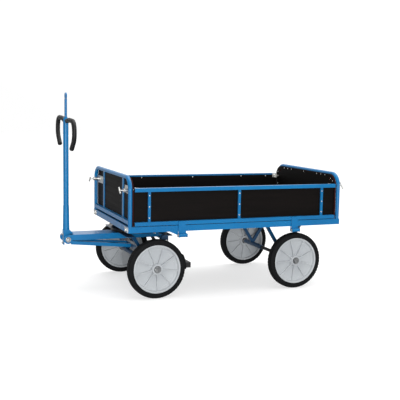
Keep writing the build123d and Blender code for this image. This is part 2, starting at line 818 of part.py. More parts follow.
with BuildPart() as side_hinge_brackets:
    for side in (1, -1):
        for x in (-hinge_x, hinge_x):
            for end in (1, -1):
                cheek_x = deck_x + x + end * (strap_width / 2 + knuckle_gap + cheek_thick / 2)
                inner_y = half_width - angle_thick
                outer_y = hinge_y + knuckle_radius
                with Locations((cheek_x, side * (inner_y + outer_y) / 2, hinge_z)):
                    Box(cheek_thick, outer_y - inner_y, 2 * knuckle_radius)
                with Locations((cheek_x, side * (half_width - angle_thick / 2),
                                (hinge_z + frame_bottom) / 2)):
                    Box(cheek_thick, angle_thick, frame_bottom - hinge_z)
        foot = deck_x + hinge_x + hinge_half + weld_gap
        side_plate([(foot, frame_bottom), (foot + gusset_length, frame_bottom), (foot, hinge_z)],
                   side * (half_width - angle_thick / 2), angle_thick)
        for x in (-hinge_x, hinge_x):
            rod((deck_x + x - hinge_half - 1, side * hinge_y, hinge_z),
                (deck_x + x + hinge_half + 1, side * hinge_y, hinge_z), hinge_pin_radius, Mode.SUBTRACT)
save(side_hinge_brackets, "side_hinge_brackets")

with BuildPart() as side_hinge_pins:
    for side in (1, -1):
        for x in (-hinge_x, hinge_x):
            y = side * hinge_y
            head = deck_x + x + hinge_half
            rod((deck_x + x - hinge_half - pin_tail, y, hinge_z), (head, y, hinge_z), hinge_pin_radius)
            rod((head, y, hinge_z), (head + pin_head_length, y, hinge_z), pin_head_radius)
save(side_hinge_pins, "side_hinge_pins")


# ---------------------------------------------------------------- steering frame
with BuildPart() as steering_bars:
    for end in (1, -1):
        with Locations((steer_x + end * front_brace_spread, 0, steering_bar_z)):
            Box(steering_bar_width, 2 * steering_bar_half, steering_bar_thick)
    for side in (1, -1):
        for edge in (1, -1):
            lug_y = side * brake_arm_y + edge * brake_lug_y
            lug_low = brake_pivot_z - brake_lug_drop
            lug_back = brake_hinge_x - brake_lug_half
            lug_front = brake_hinge_x + brake_lug_half
            side_plate([(lug_back, tongue_top), (lug_front, tongue_top), (lug_front, lug_low),
                        (lug_back, lug_low)], lug_y, brake_lug_thick)
            rod((brake_hinge_x, lug_y - brake_lug_thick, brake_pivot_z),
                (brake_hinge_x, lug_y + brake_lug_thick, brake_pivot_z), brake_shaft_radius, Mode.SUBTRACT)
    with Locations(Plane.XY.offset(tongue_top)):
        with Locations((steer_x, 0)):
            with PolarLocations(bolt_circle, 4, start_angle=bolt_turn):
                Hole(bolt_radius)
save(steering_bars, "steering_bars")

with BuildPart() as draw_tongue:
    tail_x = steer_x - tongue_tail
    web_end = pivot_x - web_setback
    with Locations(((tail_x + web_end) / 2, 0, tongue_top - tongue_wall / 2)):
        Box(web_end - tail_x, 2 * tongue_half_width, tongue_wall)
    for side in (1, -1):
        wall_y = side * (tongue_half_width - tongue_wall / 2)
        side_plate([(tail_x, tongue_top), (pivot_x - ear_setback, tongue_top), (pivot_x, pivot_height),
                    (pivot_x - ear_foot_setback, tongue_bottom), (tail_x, tongue_bottom)],
                   wall_y, tongue_wall)
        rod((pivot_x, wall_y - tongue_wall / 2, pivot_height),
            (pivot_x, wall_y + tongue_wall / 2, pivot_height), ear_radius)
        rod((pivot_x, wall_y - tongue_wall, pivot_height), (pivot_x, wall_y + tongue_wall, pivot_height),
            pivot_bolt_radius, Mode.SUBTRACT)
    with Locations(Plane.XY.offset(tongue_top)):
        with Locations((steer_x, 0)):
            with PolarLocations(bolt_circle, 4, start_angle=bolt_turn):
                Hole(bolt_radius)
    stay_rear_x = tie_beam_x + tie_beam_size / 2 + stay_clearance
    for side in (1, -1):
        stay_y = side * (tongue_half_width - tongue_wall - weld_gap - stay_size / 2)
        hollow_bar((stay_rear_x, stay_y, stay_rear_z), (pivot_x - stay_setback, stay_y, stay_front_z),
                   stay_size, stay_size, crossmember_wall)
save(draw_tongue, "draw_tongue")

with BuildPart() as turntable_bolts:
    flange_top = ring_bottom + ring_thick
    for quarter in range(4):
        angle = math.radians(bolt_turn + 90 * quarter)
        x = steer_x + bolt_circle * math.cos(angle)
        y = bolt_circle * math.sin(angle)
        hex_bar((x, y, tongue_top - bolt_head_thick), (x, y, tongue_top), bolt_head_radius)
        rod((x, y, tongue_top), (x, y, flange_top), bolt_radius)
        hex_bar((x, y, flange_top), (x, y, flange_top + bolt_head_thick), bolt_head_radius)
save(turntable_bolts, "turntable_bolts")

with BuildPart() as drawbar_pivot_bolt:
    outer = tongue_half_width
    seat = outer + pivot_washer_thick
    for side in (1, -1):
        rod((pivot_x, side * outer, pivot_height), (pivot_x, side * seat, pivot_height),
            pivot_washer_radius)
        hex_bar((pivot_x, side * seat, pivot_height),
                (pivot_x, side * (seat + pivot_nut_length), pivot_height), pivot_nut_radius)
    rod((pivot_x, -outer - pivot_washer_thick, pivot_height),
        (pivot_x, outer + pivot_bolt_tail, pivot_height), pivot_bolt_radius)
save(drawbar_pivot_bolt, "drawbar_pivot_bolt")

with BuildPart() as drawbar_spring:
    pitch = 2 * spring_wire + 1
    with BuildLine() as coil:
        Helix(pitch, pitch * spring_turns, spring_coil_radius, center=(pivot_x, spring_inner_y, pivot_height),
              direction=(0, 1, 0))
    start = coil.wire() @ 0
    with BuildSketch(Plane(origin=start, z_dir=coil.wire() % 0)):
        Circle(spring_wire)
    sweep(path=coil.wire())
save(drawbar_spring, "drawbar_spring")

with BuildPart() as brake_shaft:
    reach = brake_arm_y + brake_lug_y + brake_lug_thick / 2 + brake_shaft_tail
    rod((brake_hinge_x, -reach, brake_pivot_z), (brake_hinge_x, reach, brake_pivot_z), brake_shaft_radius)
save(brake_shaft, "brake_shaft")


# ---------------------------------------------------------------- brake
with BuildPart() as brake_frame:
    hollow_bar((brake_beam_x, -brake_beam_half, brake_beam_z),
               (brake_beam_x, brake_beam_half, brake_beam_z),
               brake_beam_size, brake_beam_size, brake_beam_wall, (1, 0, 0))
    for side in (1, -1):
        with Locations((brake_beam_x, side * (brake_beam_half - brake_beam_wall / 2), brake_beam_z)):
            Box(brake_beam_size, brake_beam_wall, brake_beam_size)
    for side in (1, -1):
        y = side * brake_arm_y
        foot_z = brake_beam_z + brake_beam_size / 2 - 1
        half = brake_arm_width / 2
        side_plate([(brake_hinge_x - half, brake_pivot_z), (brake_hinge_x + half, brake_pivot_z),
                    (brake_beam_x + half, foot_z), (brake_beam_x - half, foot_z)], y, brake_arm_thick)
        rod((brake_hinge_x, y - brake_arm_thick / 2, brake_pivot_z),
            (brake_hinge_x, y + brake_arm_thick / 2, brake_pivot_z), brake_hub_radius)
        rod((brake_hinge_x, y - brake_arm_thick, brake_pivot_z),
            (brake_hinge_x, y + brake_arm_thick, brake_pivot_z),
            brake_shaft_radius + running_clearance, Mode.SUBTRACT)
save(brake_frame, "brake_frame")

def on_tyre(radius, degrees):
    """Point behind the front tyre at a radius and an angle above the axle."""
    angle = math.radians(degrees)
    return (steer_x - radius * math.cos(angle), axle_z + radius * math.sin(angle))


with BuildPart() as brake_shoes:
    inner = lining_radius
    outer = lining_radius + brake_shoe_thick
    middle = (brake_shoe_low + brake_shoe_high) / 2
    for side in (1, -1):
        section = Plane(origin=(0, side * wheel_y, 0), x_dir=(1, 0, 0), z_dir=(0, -1, 0))
        with BuildSketch(section) as outline:
            with BuildLine():
                ThreePointArc(on_tyre(inner, brake_shoe_low), on_tyre(inner, middle),
                              on_tyre(inner, brake_shoe_high))
                Line(on_tyre(inner, brake_shoe_high), on_tyre(outer, brake_shoe_high))
                ThreePointArc(on_tyre(outer, brake_shoe_high), on_tyre(outer, middle),
                              on_tyre(outer, brake_shoe_low))
                Line(on_tyre(outer, brake_shoe_low), on_tyre(inner, brake_shoe_low))
            make_face()
        extrude(outline.sketch, amount=brake_shoe_width / 2, both=True)
save(brake_shoes, "brake_shoes")


# ---------------------------------------------------------------- drawbar
with BuildPart() as drawbar_tube:
    with BuildSketch(Plane.XY.offset(foot_bottom)):
        with Locations((pivot_x, 0)):
            tube_section(drawbar_radius, drawbar_wall)
    extrude(amount=drawbar_top - foot_bottom)
save(drawbar_tube, "drawbar_tube")

with BuildPart() as drawbar_foot:
    with BuildSketch(Plane(origin=(pivot_x, 0, 0), x_dir=(1, 0, 0), z_dir=(0, -1, 0))):
        with BuildLine():
            Polyline((drawbar_radius, foot_bottom), (foot_bottom_radius, foot_bottom),
                     (foot_top_radius, foot_top), (drawbar_radius, foot_top), close=True)
        make_face()
    revolve(axis=Axis((pivot_x, 0, 0), (0, 0, 1)))
    back = pivot_x - foot_half_width
    front = pivot_x + foot_plate_front
    plate_back = front - foot_plate_thick
    plate_low = pivot_height - foot_plate_half
    heel_z = tongue_top + heel_gap
    side_plate([(back, foot_bottom), (front, foot_bottom), (front, plate_low), (plate_back, plate_low),
                (plate_back, pivot_height), (back + foot_plate_step, pivot_height),
                (back, heel_z + heel_rise)], 0, 2 * foot_half_width)
    side_plate([(back, foot_bottom), (pivot_x - heel_back, heel_z), (back + heel_step, heel_z)],
               0, 2 * foot_half_width)
    left = (pivot_x, pivot_tube_half, pivot_height)
    right = (pivot_x, -pivot_tube_half, pivot_height)
    rod(right, left, pivot_tube_radius)
    rod(right, left, pivot_bolt_radius + running_clearance, Mode.SUBTRACT)
save(drawbar_foot, "drawbar_foot")

with BuildPart() as foot_bolts:
    for end in (1, -1):
        z = pivot_height + end * foot_bolt_spacing / 2
        front = pivot_x + foot_plate_front
        hex_bar((front, 0, z), (front + foot_bolt_head, 0, z), foot_bolt_radius)
save(foot_bolts, "foot_bolts")

with BuildPart() as tow_eye:
    rod((pivot_x, 0, drawbar_top), (pivot_x, 0, eye_centre_z - eye_outer_radius + eye_weld), eye_rod_radius)
    with Locations((pivot_x, 0, drawbar_top + eye_cone_height / 2)):
        Cone(drawbar_radius, eye_rod_radius, eye_cone_height)
    eye_back = (pivot_x - eye_thick / 2, 0, eye_centre_z)
    eye_front = (pivot_x + eye_thick / 2, 0, eye_centre_z)
    rod(eye_back, eye_front, eye_outer_radius)
    rod(eye_back, eye_front, eye_bore_radius, Mode.SUBTRACT)
save(tow_eye, "tow_eye")


def horn_path(side, points):
    """Bent centre line of one handle across the cart, turned a little about its root."""
    tilt = math.radians(horn_tilt)
    spots = []
    for y, z in points:
        rise = z - horn_root[1]
        spots.append((side * y * math.cos(tilt) + rise * math.sin(tilt),
                      horn_root[1] + rise * math.cos(tilt) - side * y * math.sin(tilt)))
    with BuildLine(Plane(origin=(pivot_x, 0, 0), x_dir=(0, 1, 0), z_dir=(1, 0, 0))) as path:
        FilletPolyline(*spots, radius=horn_bends)
    return path.wire()


with BuildPart() as handle_horns:
    for side in (1, -1):
        path = horn_path(side, [horn_root, horn_crown, horn_shoulder, horn_waist, horn_end])
        with BuildSketch(Plane(origin=path @ 0, z_dir=path % 0)) as section:
            Circle(horn_radius)
        sweep(section.sketch, path=path)
    rod((pivot_x, 0, foot_top), (pivot_x, 0, eye_centre_z), drawbar_radius, Mode.SUBTRACT)
save(handle_horns, "handle_horns")

with BuildPart() as handle_grips:
    bare_end = tuple(grip_start * end for end in horn_crown)
    start = (bare_end[0], bare_end[1] + (1 - grip_start) * horn_root[1])
    for side in (1, -1):
        path = horn_path(side, [start, horn_crown, horn_shoulder, horn_waist, horn_end])
        with BuildSketch(Plane(origin=path @ 0, z_dir=path % 0)) as section:
            Circle(grip_radius)
            Circle(horn_radius, mode=Mode.SUBTRACT)
        sweep(section.sketch, path=path)
        tip = path @ 1
        heading = path % 1
        rod(tuple(tip), tuple(tip + heading * grip_cap), grip_radius)
save(handle_grips, "handle_grips")
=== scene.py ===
import math
import random

import bmesh
import bpy
from mathutils import Matrix, Vector


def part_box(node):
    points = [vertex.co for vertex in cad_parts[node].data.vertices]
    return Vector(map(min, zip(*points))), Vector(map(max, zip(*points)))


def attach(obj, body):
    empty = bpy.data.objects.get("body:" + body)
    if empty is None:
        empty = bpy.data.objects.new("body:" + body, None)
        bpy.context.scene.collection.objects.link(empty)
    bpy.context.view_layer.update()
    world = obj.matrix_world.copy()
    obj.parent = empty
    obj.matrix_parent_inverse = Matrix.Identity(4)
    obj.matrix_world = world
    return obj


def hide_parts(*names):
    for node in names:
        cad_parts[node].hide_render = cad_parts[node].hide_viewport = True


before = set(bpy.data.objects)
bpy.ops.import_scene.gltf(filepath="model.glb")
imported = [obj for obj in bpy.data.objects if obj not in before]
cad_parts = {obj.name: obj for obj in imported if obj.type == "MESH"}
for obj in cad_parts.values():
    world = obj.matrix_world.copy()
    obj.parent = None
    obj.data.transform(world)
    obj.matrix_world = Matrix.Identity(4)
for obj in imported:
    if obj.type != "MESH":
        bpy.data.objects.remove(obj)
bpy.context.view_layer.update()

# Garden cart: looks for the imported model. Metres, +X to the drawbar, +Y to the cart's left.

scene = bpy.context.scene
scene.view_settings.view_transform = "Standard"
random.seed(7)


def middleOf(node):
    low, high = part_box(node)
    return (low + high) / 2


deckMiddle = middleOf("deck_frame")
print("frame loaded:", len(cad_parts), "nodes")


# shader helpers

def addNode(tree, kind, inputs=None, **settings):
    node = tree.nodes.new("ShaderNode" + kind)
    for key, value in settings.items():
        setattr(node, key, value)
    for key, value in (inputs or {}).items():
        node.inputs[key].default_value = value
    return node


def startGroup(name, inputs, outputs):
    group = bpy.data.node_groups.new(name, "ShaderNodeTree")
    for label, value in inputs.items():
        kind = "NodeSocketVector" if isinstance(value, tuple) else "NodeSocketFloat"
        socket = group.interface.new_socket(name=label, in_out="INPUT", socket_type=kind)
        socket.default_value = value
    for label in outputs:
        group.interface.new_socket(name=label, in_out="OUTPUT", socket_type="NodeSocketFloat")
    return group, group.nodes.new("NodeGroupInput"), group.nodes.new("NodeGroupOutput")


def placeGroup(tree, group, values):
    node = tree.nodes.new("ShaderNodeGroup")
    node.node_tree = group
    for key, value in values.items():
        node.inputs[key].default_value = value
    return node


def mathNode(tree, operation, first, second=None):
    node = addNode(tree, "Math", operation=operation)
    for slot, value in enumerate((first, second)):
        if isinstance(value, (int, float)):
            node.inputs[slot].default_value = value
        elif value is not None:
            tree.links.new(value, node.inputs[slot])
    return node.outputs[0]


def rangeNode(tree, value, fromLow, fromHigh, toLow=0.0, toHigh=1.0):
    node = addNode(tree, "MapRange", {"From Min": fromLow, "From Max": fromHigh,
                                      "To Min": toLow, "To Max": toHigh})
    tree.links.new(value, node.inputs["Value"])
    return node.outputs[0]


def noiseNode(tree, vector, scale, detail=3.0, roughness=0.5):
    node = addNode(tree, "TexNoise", {"Detail": detail, "Roughness": roughness})
    tree.links.new(vector, node.inputs["Vector"])
    if isinstance(scale, (int, float)):
        node.inputs["Scale"].default_value = scale
    else:
        tree.links.new(scale, node.inputs["Scale"])
    return node.outputs["Fac"]


def mixColour(tree, mask, low, high):
    node = addNode(tree, "Mix", data_type="RGBA")
    tree.links.new(mask, node.inputs["Factor"])
    for name, value in (("A", low), ("B", high)):
        socket = next(s for s in node.inputs if s.name == name and s.type == "RGBA")
        if isinstance(value, tuple):
            socket.default_value = value
        else:
            tree.links.new(value, socket)
    return next(s for s in node.outputs if s.type == "RGBA")


def colour(red, green, blue):  # sRGB bytes to a linear colour
    def linear(value):
        part = value / 255
        return part / 12.92 if part <= 0.04045 else ((part + 0.055) / 1.055) ** 2.4
    return (linear(red), linear(green), linear(blue), 1.0)


# shared effects

def edgeWearAndHighlightGroup():  # worn strip along outer edges; on the rims it also paints a highlight along the rib and lip edges
    group, inputs, outputs = startGroup(
        "edgeWearAndHighlight", {"Radius": 0.002, "Amount": 0.6, "Breakup": 40.0}, ["Mask"])
    bevel = addNode(group, "Bevel", samples=4)
    group.links.new(inputs.outputs["Radius"], bevel.inputs["Radius"])
    geometry = addNode(group, "NewGeometry")
    dot = addNode(group, "VectorMath", operation="DOT_PRODUCT")
    group.links.new(bevel.outputs["Normal"], dot.inputs[0])
    group.links.new(geometry.outputs["Normal"], dot.inputs[1])
    edge = rangeNode(group, dot.outputs["Value"], 0.999, 0.93)
    place = addNode(group, "TexCoord")
    broken = rangeNode(group, noiseNode(group, place.outputs["Object"], inputs.outputs["Breakup"], 5.0),
                       0.45, 0.62)
    wornEdgeAndHighlight = mathNode(group, "MULTIPLY", edge, broken)
    group.links.new(mathNode(group, "MULTIPLY", wornEdgeAndHighlight, inputs.outputs["Amount"]), outputs.inputs["Mask"])
    return group


def dustGroup():  # settled on faces that look up, patchy
    group, inputs, outputs = startGroup("settledDust", {"Scale": 9.0, "Amount": 0.3}, ["Mask"])
    place = addNode(group, "TexCoord")
    split = addNode(group, "SeparateXYZ")
    group.links.new(place.outputs["Normal"], split.inputs[0])
    upward = rangeNode(group, split.outputs["Z"], 0.2, 1.0)
    patches = rangeNode(group, noiseNode(group, place.outputs["Object"], inputs.outputs["Scale"], 6.0, 0.6),
                        0.38, 0.72)
    both = mathNode(group, "MULTIPLY", mathNode(group, "ADD", upward, 0.25), patches)
    group.links.new(mathNode(group, "MULTIPLY", both, inputs.outputs["Amount"]), outputs.inputs["Mask"])
    return group


def peelGroup():  # the faint pebbled skin of powder coat or moulded plastic
    group, inputs, outputs = startGroup("pebbledSkin", {"Scale": 420.0}, ["Height", "Drift"])
    place = addNode(group, "TexCoord")
    fine = noiseNode(group, place.outputs["Object"], inputs.outputs["Scale"], 2.0)
    wide = noiseNode(group, place.outputs["Object"], 3.5, 3.0)
    group.links.new(fine, outputs.inputs["Height"])
    group.links.new(wide, outputs.inputs["Drift"])
    return group


def grainGroup():  # wood grain telegraphing through a film, and plies on the cut edges
    group, inputs, outputs = startGroup(
        "plyGrain", {"Stretch": (3.0, 60.0, 60.0), "Thickness": (0.0, 1.0, 0.0), "Ply": 700.0},
        ["Grain", "Edge", "Plies"])
    place = addNode(group, "TexCoord")
    stretched = addNode(group, "VectorMath", operation="MULTIPLY")
    group.links.new(place.outputs["Object"], stretched.inputs[0])
    group.links.new(inputs.outputs["Stretch"], stretched.inputs[1])
    group.links.new(noiseNode(group, stretched.outputs[0], 1.0, 6.0, 0.62), outputs.inputs["Grain"])
    facing = addNode(group, "VectorMath", operation="DOT_PRODUCT")
    group.links.new(place.outputs["Normal"], facing.inputs[0])
    group.links.new(inputs.outputs["Thickness"], facing.inputs[1])
    flat = mathNode(group, "ABSOLUTE", facing.outputs["Value"])
    group.links.new(rangeNode(group, flat, 0.75, 0.35), outputs.inputs["Edge"])
    depth = addNode(group, "VectorMath", operation="DOT_PRODUCT")
    group.links.new(place.outputs["Object"], depth.inputs[0])
    group.links.new(inputs.outputs["Thickness"], depth.inputs[1])
    wave = mathNode(group, "SINE", mathNode(group, "MULTIPLY", depth.outputs["Value"], inputs.outputs["Ply"]))
    group.links.new(rangeNode(group, wave, -0.4, 0.4), outputs.inputs["Plies"])
    return group


def spangleGroup():  # plated metal: soft crystal patches and fine rub marks
    group, inputs, outputs = startGroup("platedMetal", {"Scale": 160.0}, ["Patches", "Rubs"])
    place = addNode(group, "TexCoord")
    cells = addNode(group, "TexVoronoi")
    group.links.new(place.outputs["Object"], cells.inputs["Vector"])
    group.links.new(inputs.outputs["Scale"], cells.inputs["Scale"])
    split = addNode(group, "SeparateColor")
    group.links.new(cells.outputs["Color"], split.inputs[0])
    group.links.new(split.outputs[0], outputs.inputs["Patches"])
    stretched = addNode(group, "VectorMath", {1: (40.0, 900.0, 260.0)}, operation="MULTIPLY")
    group.links.new(place.outputs["Object"], stretched.inputs[0])
    group.links.new(noiseNode(group, stretched.outputs[0], 1.0, 4.0), outputs.inputs["Rubs"])
    return group


edgeWearAndHighlight, settledDust, pebbledSkin = edgeWearAndHighlightGroup(), dustGroup(), peelGroup()
plyGrain, platedMetal = grainGroup(), spangleGroup()
print("shader groups ready")


# materials

def startMaterial(name, roughness, **sockets):
    material = bpy.data.materials.new(name)
    material.use_nodes = True
    tree = material.node_tree
    shader = tree.nodes["Principled BSDF"]
    shader.inputs["Roughness"].default_value = roughness
    for key, value in sockets.items():
        shader.inputs[key.replace("_", " ")].default_value = value
    return material, tree, shader


def addBump(tree, shader, height, strength, distance):
    bump = addNode(tree, "Bump", {"Strength": strength, "Distance": distance})
    tree.links.new(height, bump.inputs["Height"])
    tree.links.new(bump.outputs["Normal"], shader.inputs["Normal"])


def paintMaterial(name, look):
    material, tree, shader = startMaterial(name, look["roughness"], Coat_Weight=look["coat"],
                                           Coat_Roughness=0.12, Specular_IOR_Level=look["specular"])
    skin = placeGroup(tree, pebbledSkin, {"Scale": look["peelScale"]})
    wearAndHighlight = placeGroup(tree, edgeWearAndHighlight, {"Radius": look["wearRadius"], "Amount": look["wearAndHighlight"]})
    dust = placeGroup(tree, settledDust, {"Amount": look["dust"]})
    drift = rangeNode(tree, skin.outputs["Drift"], 0.3, 0.7)
    base = mixColour(tree, drift, look["shade"], look["colour"])
    base = mixColour(tree, wearAndHighlight.outputs["Mask"], base, look["wornColour"])
    base = mixColour(tree, dust.outputs["Mask"], base, look["dustColour"])
    tree.links.new(base, shader.inputs["Base Color"])
    rough = mathNode(tree, "ADD", rangeNode(tree, skin.outputs["Drift"], 0.2, 0.8,
                                            look["roughness"] - 0.06, look["roughness"] + 0.08),
                     mathNode(tree, "MULTIPLY", dust.outputs["Mask"], 0.5))
    tree.links.new(rough, shader.inputs["Roughness"])
    addBump(tree, shader, skin.outputs["Height"], look["peel"], 0.0004)
    return material


def plywoodMaterial(name, look):
    material, tree, shader = startMaterial(name, look["roughness"], Coat_Weight=look["coat"],
                                           Coat_Roughness=0.2, Specular_IOR_Level=look["specular"])
    wood = placeGroup(tree, plyGrain, {"Stretch": look["stretch"], "Thickness": look["thickness"]})
    skin = placeGroup(tree, pebbledSkin, {"Scale": look["peelScale"]})
    dust = placeGroup(tree, settledDust, {"Amount": look["dust"], "Scale": 5.0})
    grain = rangeNode(tree, wood.outputs["Grain"], 0.32, 0.68)
    film = mixColour(tree, grain, look["dark"], look["light"])
    film = mixColour(tree, dust.outputs["Mask"], film, look["dustColour"])
    plies = mixColour(tree, wood.outputs["Plies"], look["plyDark"], look["plyLight"])
    base = mixColour(tree, wood.outputs["Edge"], film, plies)
    tree.links.new(base, shader.inputs["Base Color"])
    rough = mathNode(tree, "ADD",
                     rangeNode(tree, grain, 0.0, 1.0, look["roughness"], look["roughness"] + 0.12),
                     mathNode(tree, "MULTIPLY", wood.outputs["Edge"], 0.35))
    tree.links.new(rough, shader.inputs["Roughness"])
    mixed = mathNode(tree, "ADD", mathNode(tree, "MULTIPLY", wood.outputs["Grain"], 0.7),
                     mathNode(tree, "MULTIPLY", skin.outputs["Height"], 0.3))
    addBump(tree, shader, mixed, look["bump"], 0.0006)
    return material


def metalMaterial(name, look):
    material, tree, shader = startMaterial(name, look["roughness"], Metallic=1.0)
    plate = placeGroup(tree, platedMetal, {"Scale": look["patchScale"]})
    wearAndHighlight = placeGroup(tree, edgeWearAndHighlight, {"Radius": 0.0012, "Amount": look["wearAndHighlight"]})
    base = mixColour(tree, plate.outputs["Patches"], look["dark"], look["light"])
    base = mixColour(tree, wearAndHighlight.outputs["Mask"], base, look["bright"])
    tree.links.new(base, shader.inputs["Base Color"])
    rough = rangeNode(tree, plate.outputs["Rubs"], 0.3, 0.7,
                      look["roughness"] - 0.08, look["roughness"] + 0.12)
    tree.links.new(rough, shader.inputs["Roughness"])
    addBump(tree, shader, plate.outputs["Rubs"], look["bump"], 0.0002)
    return material


def mouldedMaterial(name, look):
    material, tree, shader = startMaterial(name, look["roughness"], Specular_IOR_Level=look["specular"])
    skin = placeGroup(tree, pebbledSkin, {"Scale": look["peelScale"]})
    dust = placeGroup(tree, settledDust, {"Amount": look["dust"], "Scale": look["dustScale"]})
    wearAndHighlight = placeGroup(tree, edgeWearAndHighlight, {"Radius": 0.0016, "Amount": look["wearAndHighlight"]})
    drift = rangeNode(tree, skin.outputs["Drift"], 0.3, 0.7)
    base = mixColour(tree, drift, look["dark"], look["light"])
    # edge colour: wear on the rubber and plastic parts, and a painted highlight on the rim's ribs
    base = mixColour(tree, wearAndHighlight.outputs["Mask"], base, look["wornEdgeAndHighlight"])
    base = mixColour(tree, dust.outputs["Mask"], base, look["dustColour"])
    tree.links.new(base, shader.inputs["Base Color"])
    rough = rangeNode(tree, skin.outputs["Drift"], 0.2, 0.8,
                      look["roughness"] - 0.05, look["roughness"] + 0.1)
    tree.links.new(rough, shader.inputs["Roughness"])
    addBump(tree, shader, skin.outputs["Height"], look["bump"], 0.0005)
    return material


bluePaintLook = {
    "colour": colour(3, 112, 168), "shade": colour(2, 99, 154), "wornColour": colour(70, 138, 176),
    "dustColour": colour(125, 142, 155), "roughness": 0.3, "coat": 0.06, "specular": 0.28,
    "peelScale": 520.0, "peel": 0.12, "wearRadius": 0.002, "wearAndHighlight": 0.35, "dust": 0.06,
}
# a darker copy of the blue paint: painted shade for the parts under the deck (axle frames, crossmembers,
# steering bars)
shadedBluePaintLook = dict(bluePaintLook, colour=colour(5, 66, 104), shade=colour(4, 54, 90), coat=0.2,
                     wornColour=colour(46, 92, 130), dustColour=colour(80, 92, 104))
blackPaintLook = dict(bluePaintLook, colour=colour(20, 20, 22), shade=colour(14, 14, 16), coat=0.2,
                      wornColour=colour(64, 62, 60), dustColour=colour(90, 88, 84), roughness=0.42)
plywoodLook = {
    "dark": colour(9, 7, 6), "light": colour(16, 12, 11), "plyDark": colour(30, 15, 14),
    "plyLight": colour(58, 26, 24), "dustColour": colour(52, 46, 42), "roughness": 0.55, "coat": 0.0,
    "specular": 0.08, "peelScale": 900.0, "bump": 0.2, "dust": 0.05, "stretch": (3.0, 60.0, 60.0),
    "thickness": (0.0, 1.0, 0.0),
}
zincLook = {
    "dark": colour(186, 186, 183), "light": colour(228, 227, 223), "bright": colour(245, 245, 242),
    "roughness": 0.36, "patchScale": 260.0, "wearAndHighlight": 0.5, "bump": 0.2,
}
steelLook = dict(zincLook, dark=colour(120, 122, 124), light=colour(168, 169, 170), patchScale=60.0)
# dark steel: painted shade on the zinc turntable rings under the deck; the axle shafts take it too
darkSteelShadeLook = dict(zincLook, dark=colour(38, 38, 40), light=colour(60, 60, 62),
                     bright=colour(120, 120, 120), patchScale=120.0, roughness=0.42)
# the rim's near-white edge colour at a high amount is a painted highlight along the rib and lip edges, partly
# edge wear
rimLook = {
    "dark": colour(166, 170, 174), "light": colour(180, 184, 187), "wornEdgeAndHighlight": colour(228, 230, 231),
    "dustColour": colour(150, 147, 140), "roughness": 0.42, "specular": 0.4, "peelScale": 700.0,
    "bump": 0.1, "dust": 0.08, "dustScale": 14.0, "wearAndHighlight": 0.85,
}
tyreLook = {
    "dark": colour(9, 10, 12), "light": colour(16, 17, 19), "wornEdgeAndHighlight": colour(44, 44, 45),
    "dustColour": colour(52, 51, 50), "roughness": 0.68, "specular": 0.14, "peelScale": 1100.0,
    "bump": 0.35, "dust": 0.1, "dustScale": 26.0, "wearAndHighlight": 0.4,
}
gripLook = dict(tyreLook, dark=colour(7, 7, 8), light=colour(13, 13, 14), roughness=0.42, specular=0.3,
                bump=0.2, dust=0.03, wearAndHighlight=0.25)
bushLook = dict(tyreLook, dark=colour(24, 24, 25), light=colour(36, 36, 37), roughness=0.4, dust=0.05)
plugLook = dict(gripLook, roughness=0.5, specular=0.35)

finishes = {
    "blue_paint": paintMaterial("bluePowderCoat", bluePaintLook),
    "shaded_blue_paint": paintMaterial("shadedBluePowderCoat", shadedBluePaintLook),
    "black_paint": paintMaterial("blackPaint", blackPaintLook),
    "film_plywood": plywoodMaterial("filmPlywoodSides", plywoodLook),
    "end_plywood": plywoodMaterial("filmPlywoodEnds", dict(plywoodLook, stretch=(60.0, 3.0, 60.0),
                                                           thickness=(1.0, 0.0, 0.0))),
    "deck_plywood": plywoodMaterial("filmPlywoodDeck", dict(plywoodLook, thickness=(0.0, 0.0, 1.0),
                                                            dust=0.12)),
    "zinc": metalMaterial("zincPlate", zincLook),
    "bare_steel": metalMaterial("bareSteel", steelLook),
    "dark_steel_shade": metalMaterial("darkSteelShade", darkSteelShadeLook),
    "rim_plastic": mouldedMaterial("greyRimPlastic", rimLook),
    "tyre_rubber": mouldedMaterial("tyreRubber", tyreLook),
    "brake_rubber": mouldedMaterial("brakeRubber", dict(tyreLook, wearAndHighlight=0.2)),
    "grip_rubber": mouldedMaterial("gripRubber", gripLook),
    "bush_plastic": mouldedMaterial("bushPlastic", bushLook),
    "plug_plastic": mouldedMaterial("plugPlastic", plugLook),
}
print("materials ready:", len(finishes))


# mesh helpers

meshLook = {"join": 1e-5, "flatAngle": 1.0, "bevelSegments": 2}
boltHeadLook = {"flange": 0.18, "dome": 0.94, "domeRings": 5, "hexSteps": 48, "hexCorner": 0.88,
                "chamfer": 0.18, "threadFloor": 0.93, "threadEnd": 0.88, "tip": 0.72}
beadLook = {"sides": 8, "spacing": 0.7, "dip": 0.82, "least": 0.92, "most": 1.08}


def weldedMesh(node):  # a CAD node with its split corners joined and its flat faces whole
    mesh = bmesh.new()
    mesh.from_mesh(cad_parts[node].data)
    bmesh.ops.remove_doubles(mesh, verts=mesh.verts, dist=meshLook["join"])
    bmesh.ops.dissolve_limit(mesh, angle_limit=math.radians(meshLook["flatAngle"]), verts=mesh.verts,
                             edges=mesh.edges)
    bmesh.ops.recalc_face_normals(mesh, faces=mesh.faces)
    return mesh


def islandBoxes(node):  # lowest and highest corner of each separate solid of a CAD node
    mesh = weldedMesh(node)
    seen, boxes = set(), []
    for start in mesh.verts:
        if start.index in seen:
            continue
        seen.add(start.index)
        stack, points = [start], []
        while stack:
            vert = stack.pop()
            points.append(vert.co.copy())
            for edge in vert.link_edges:
                other = edge.other_vert(vert)
                if other.index not in seen:
                    seen.add(other.index)
                    stack.append(other)
        boxes.append((Vector([min(p[i] for p in points) for i in range(3)]),
                      Vector([max(p[i] for p in points) for i in range(3)])))
    mesh.free()
    return boxes


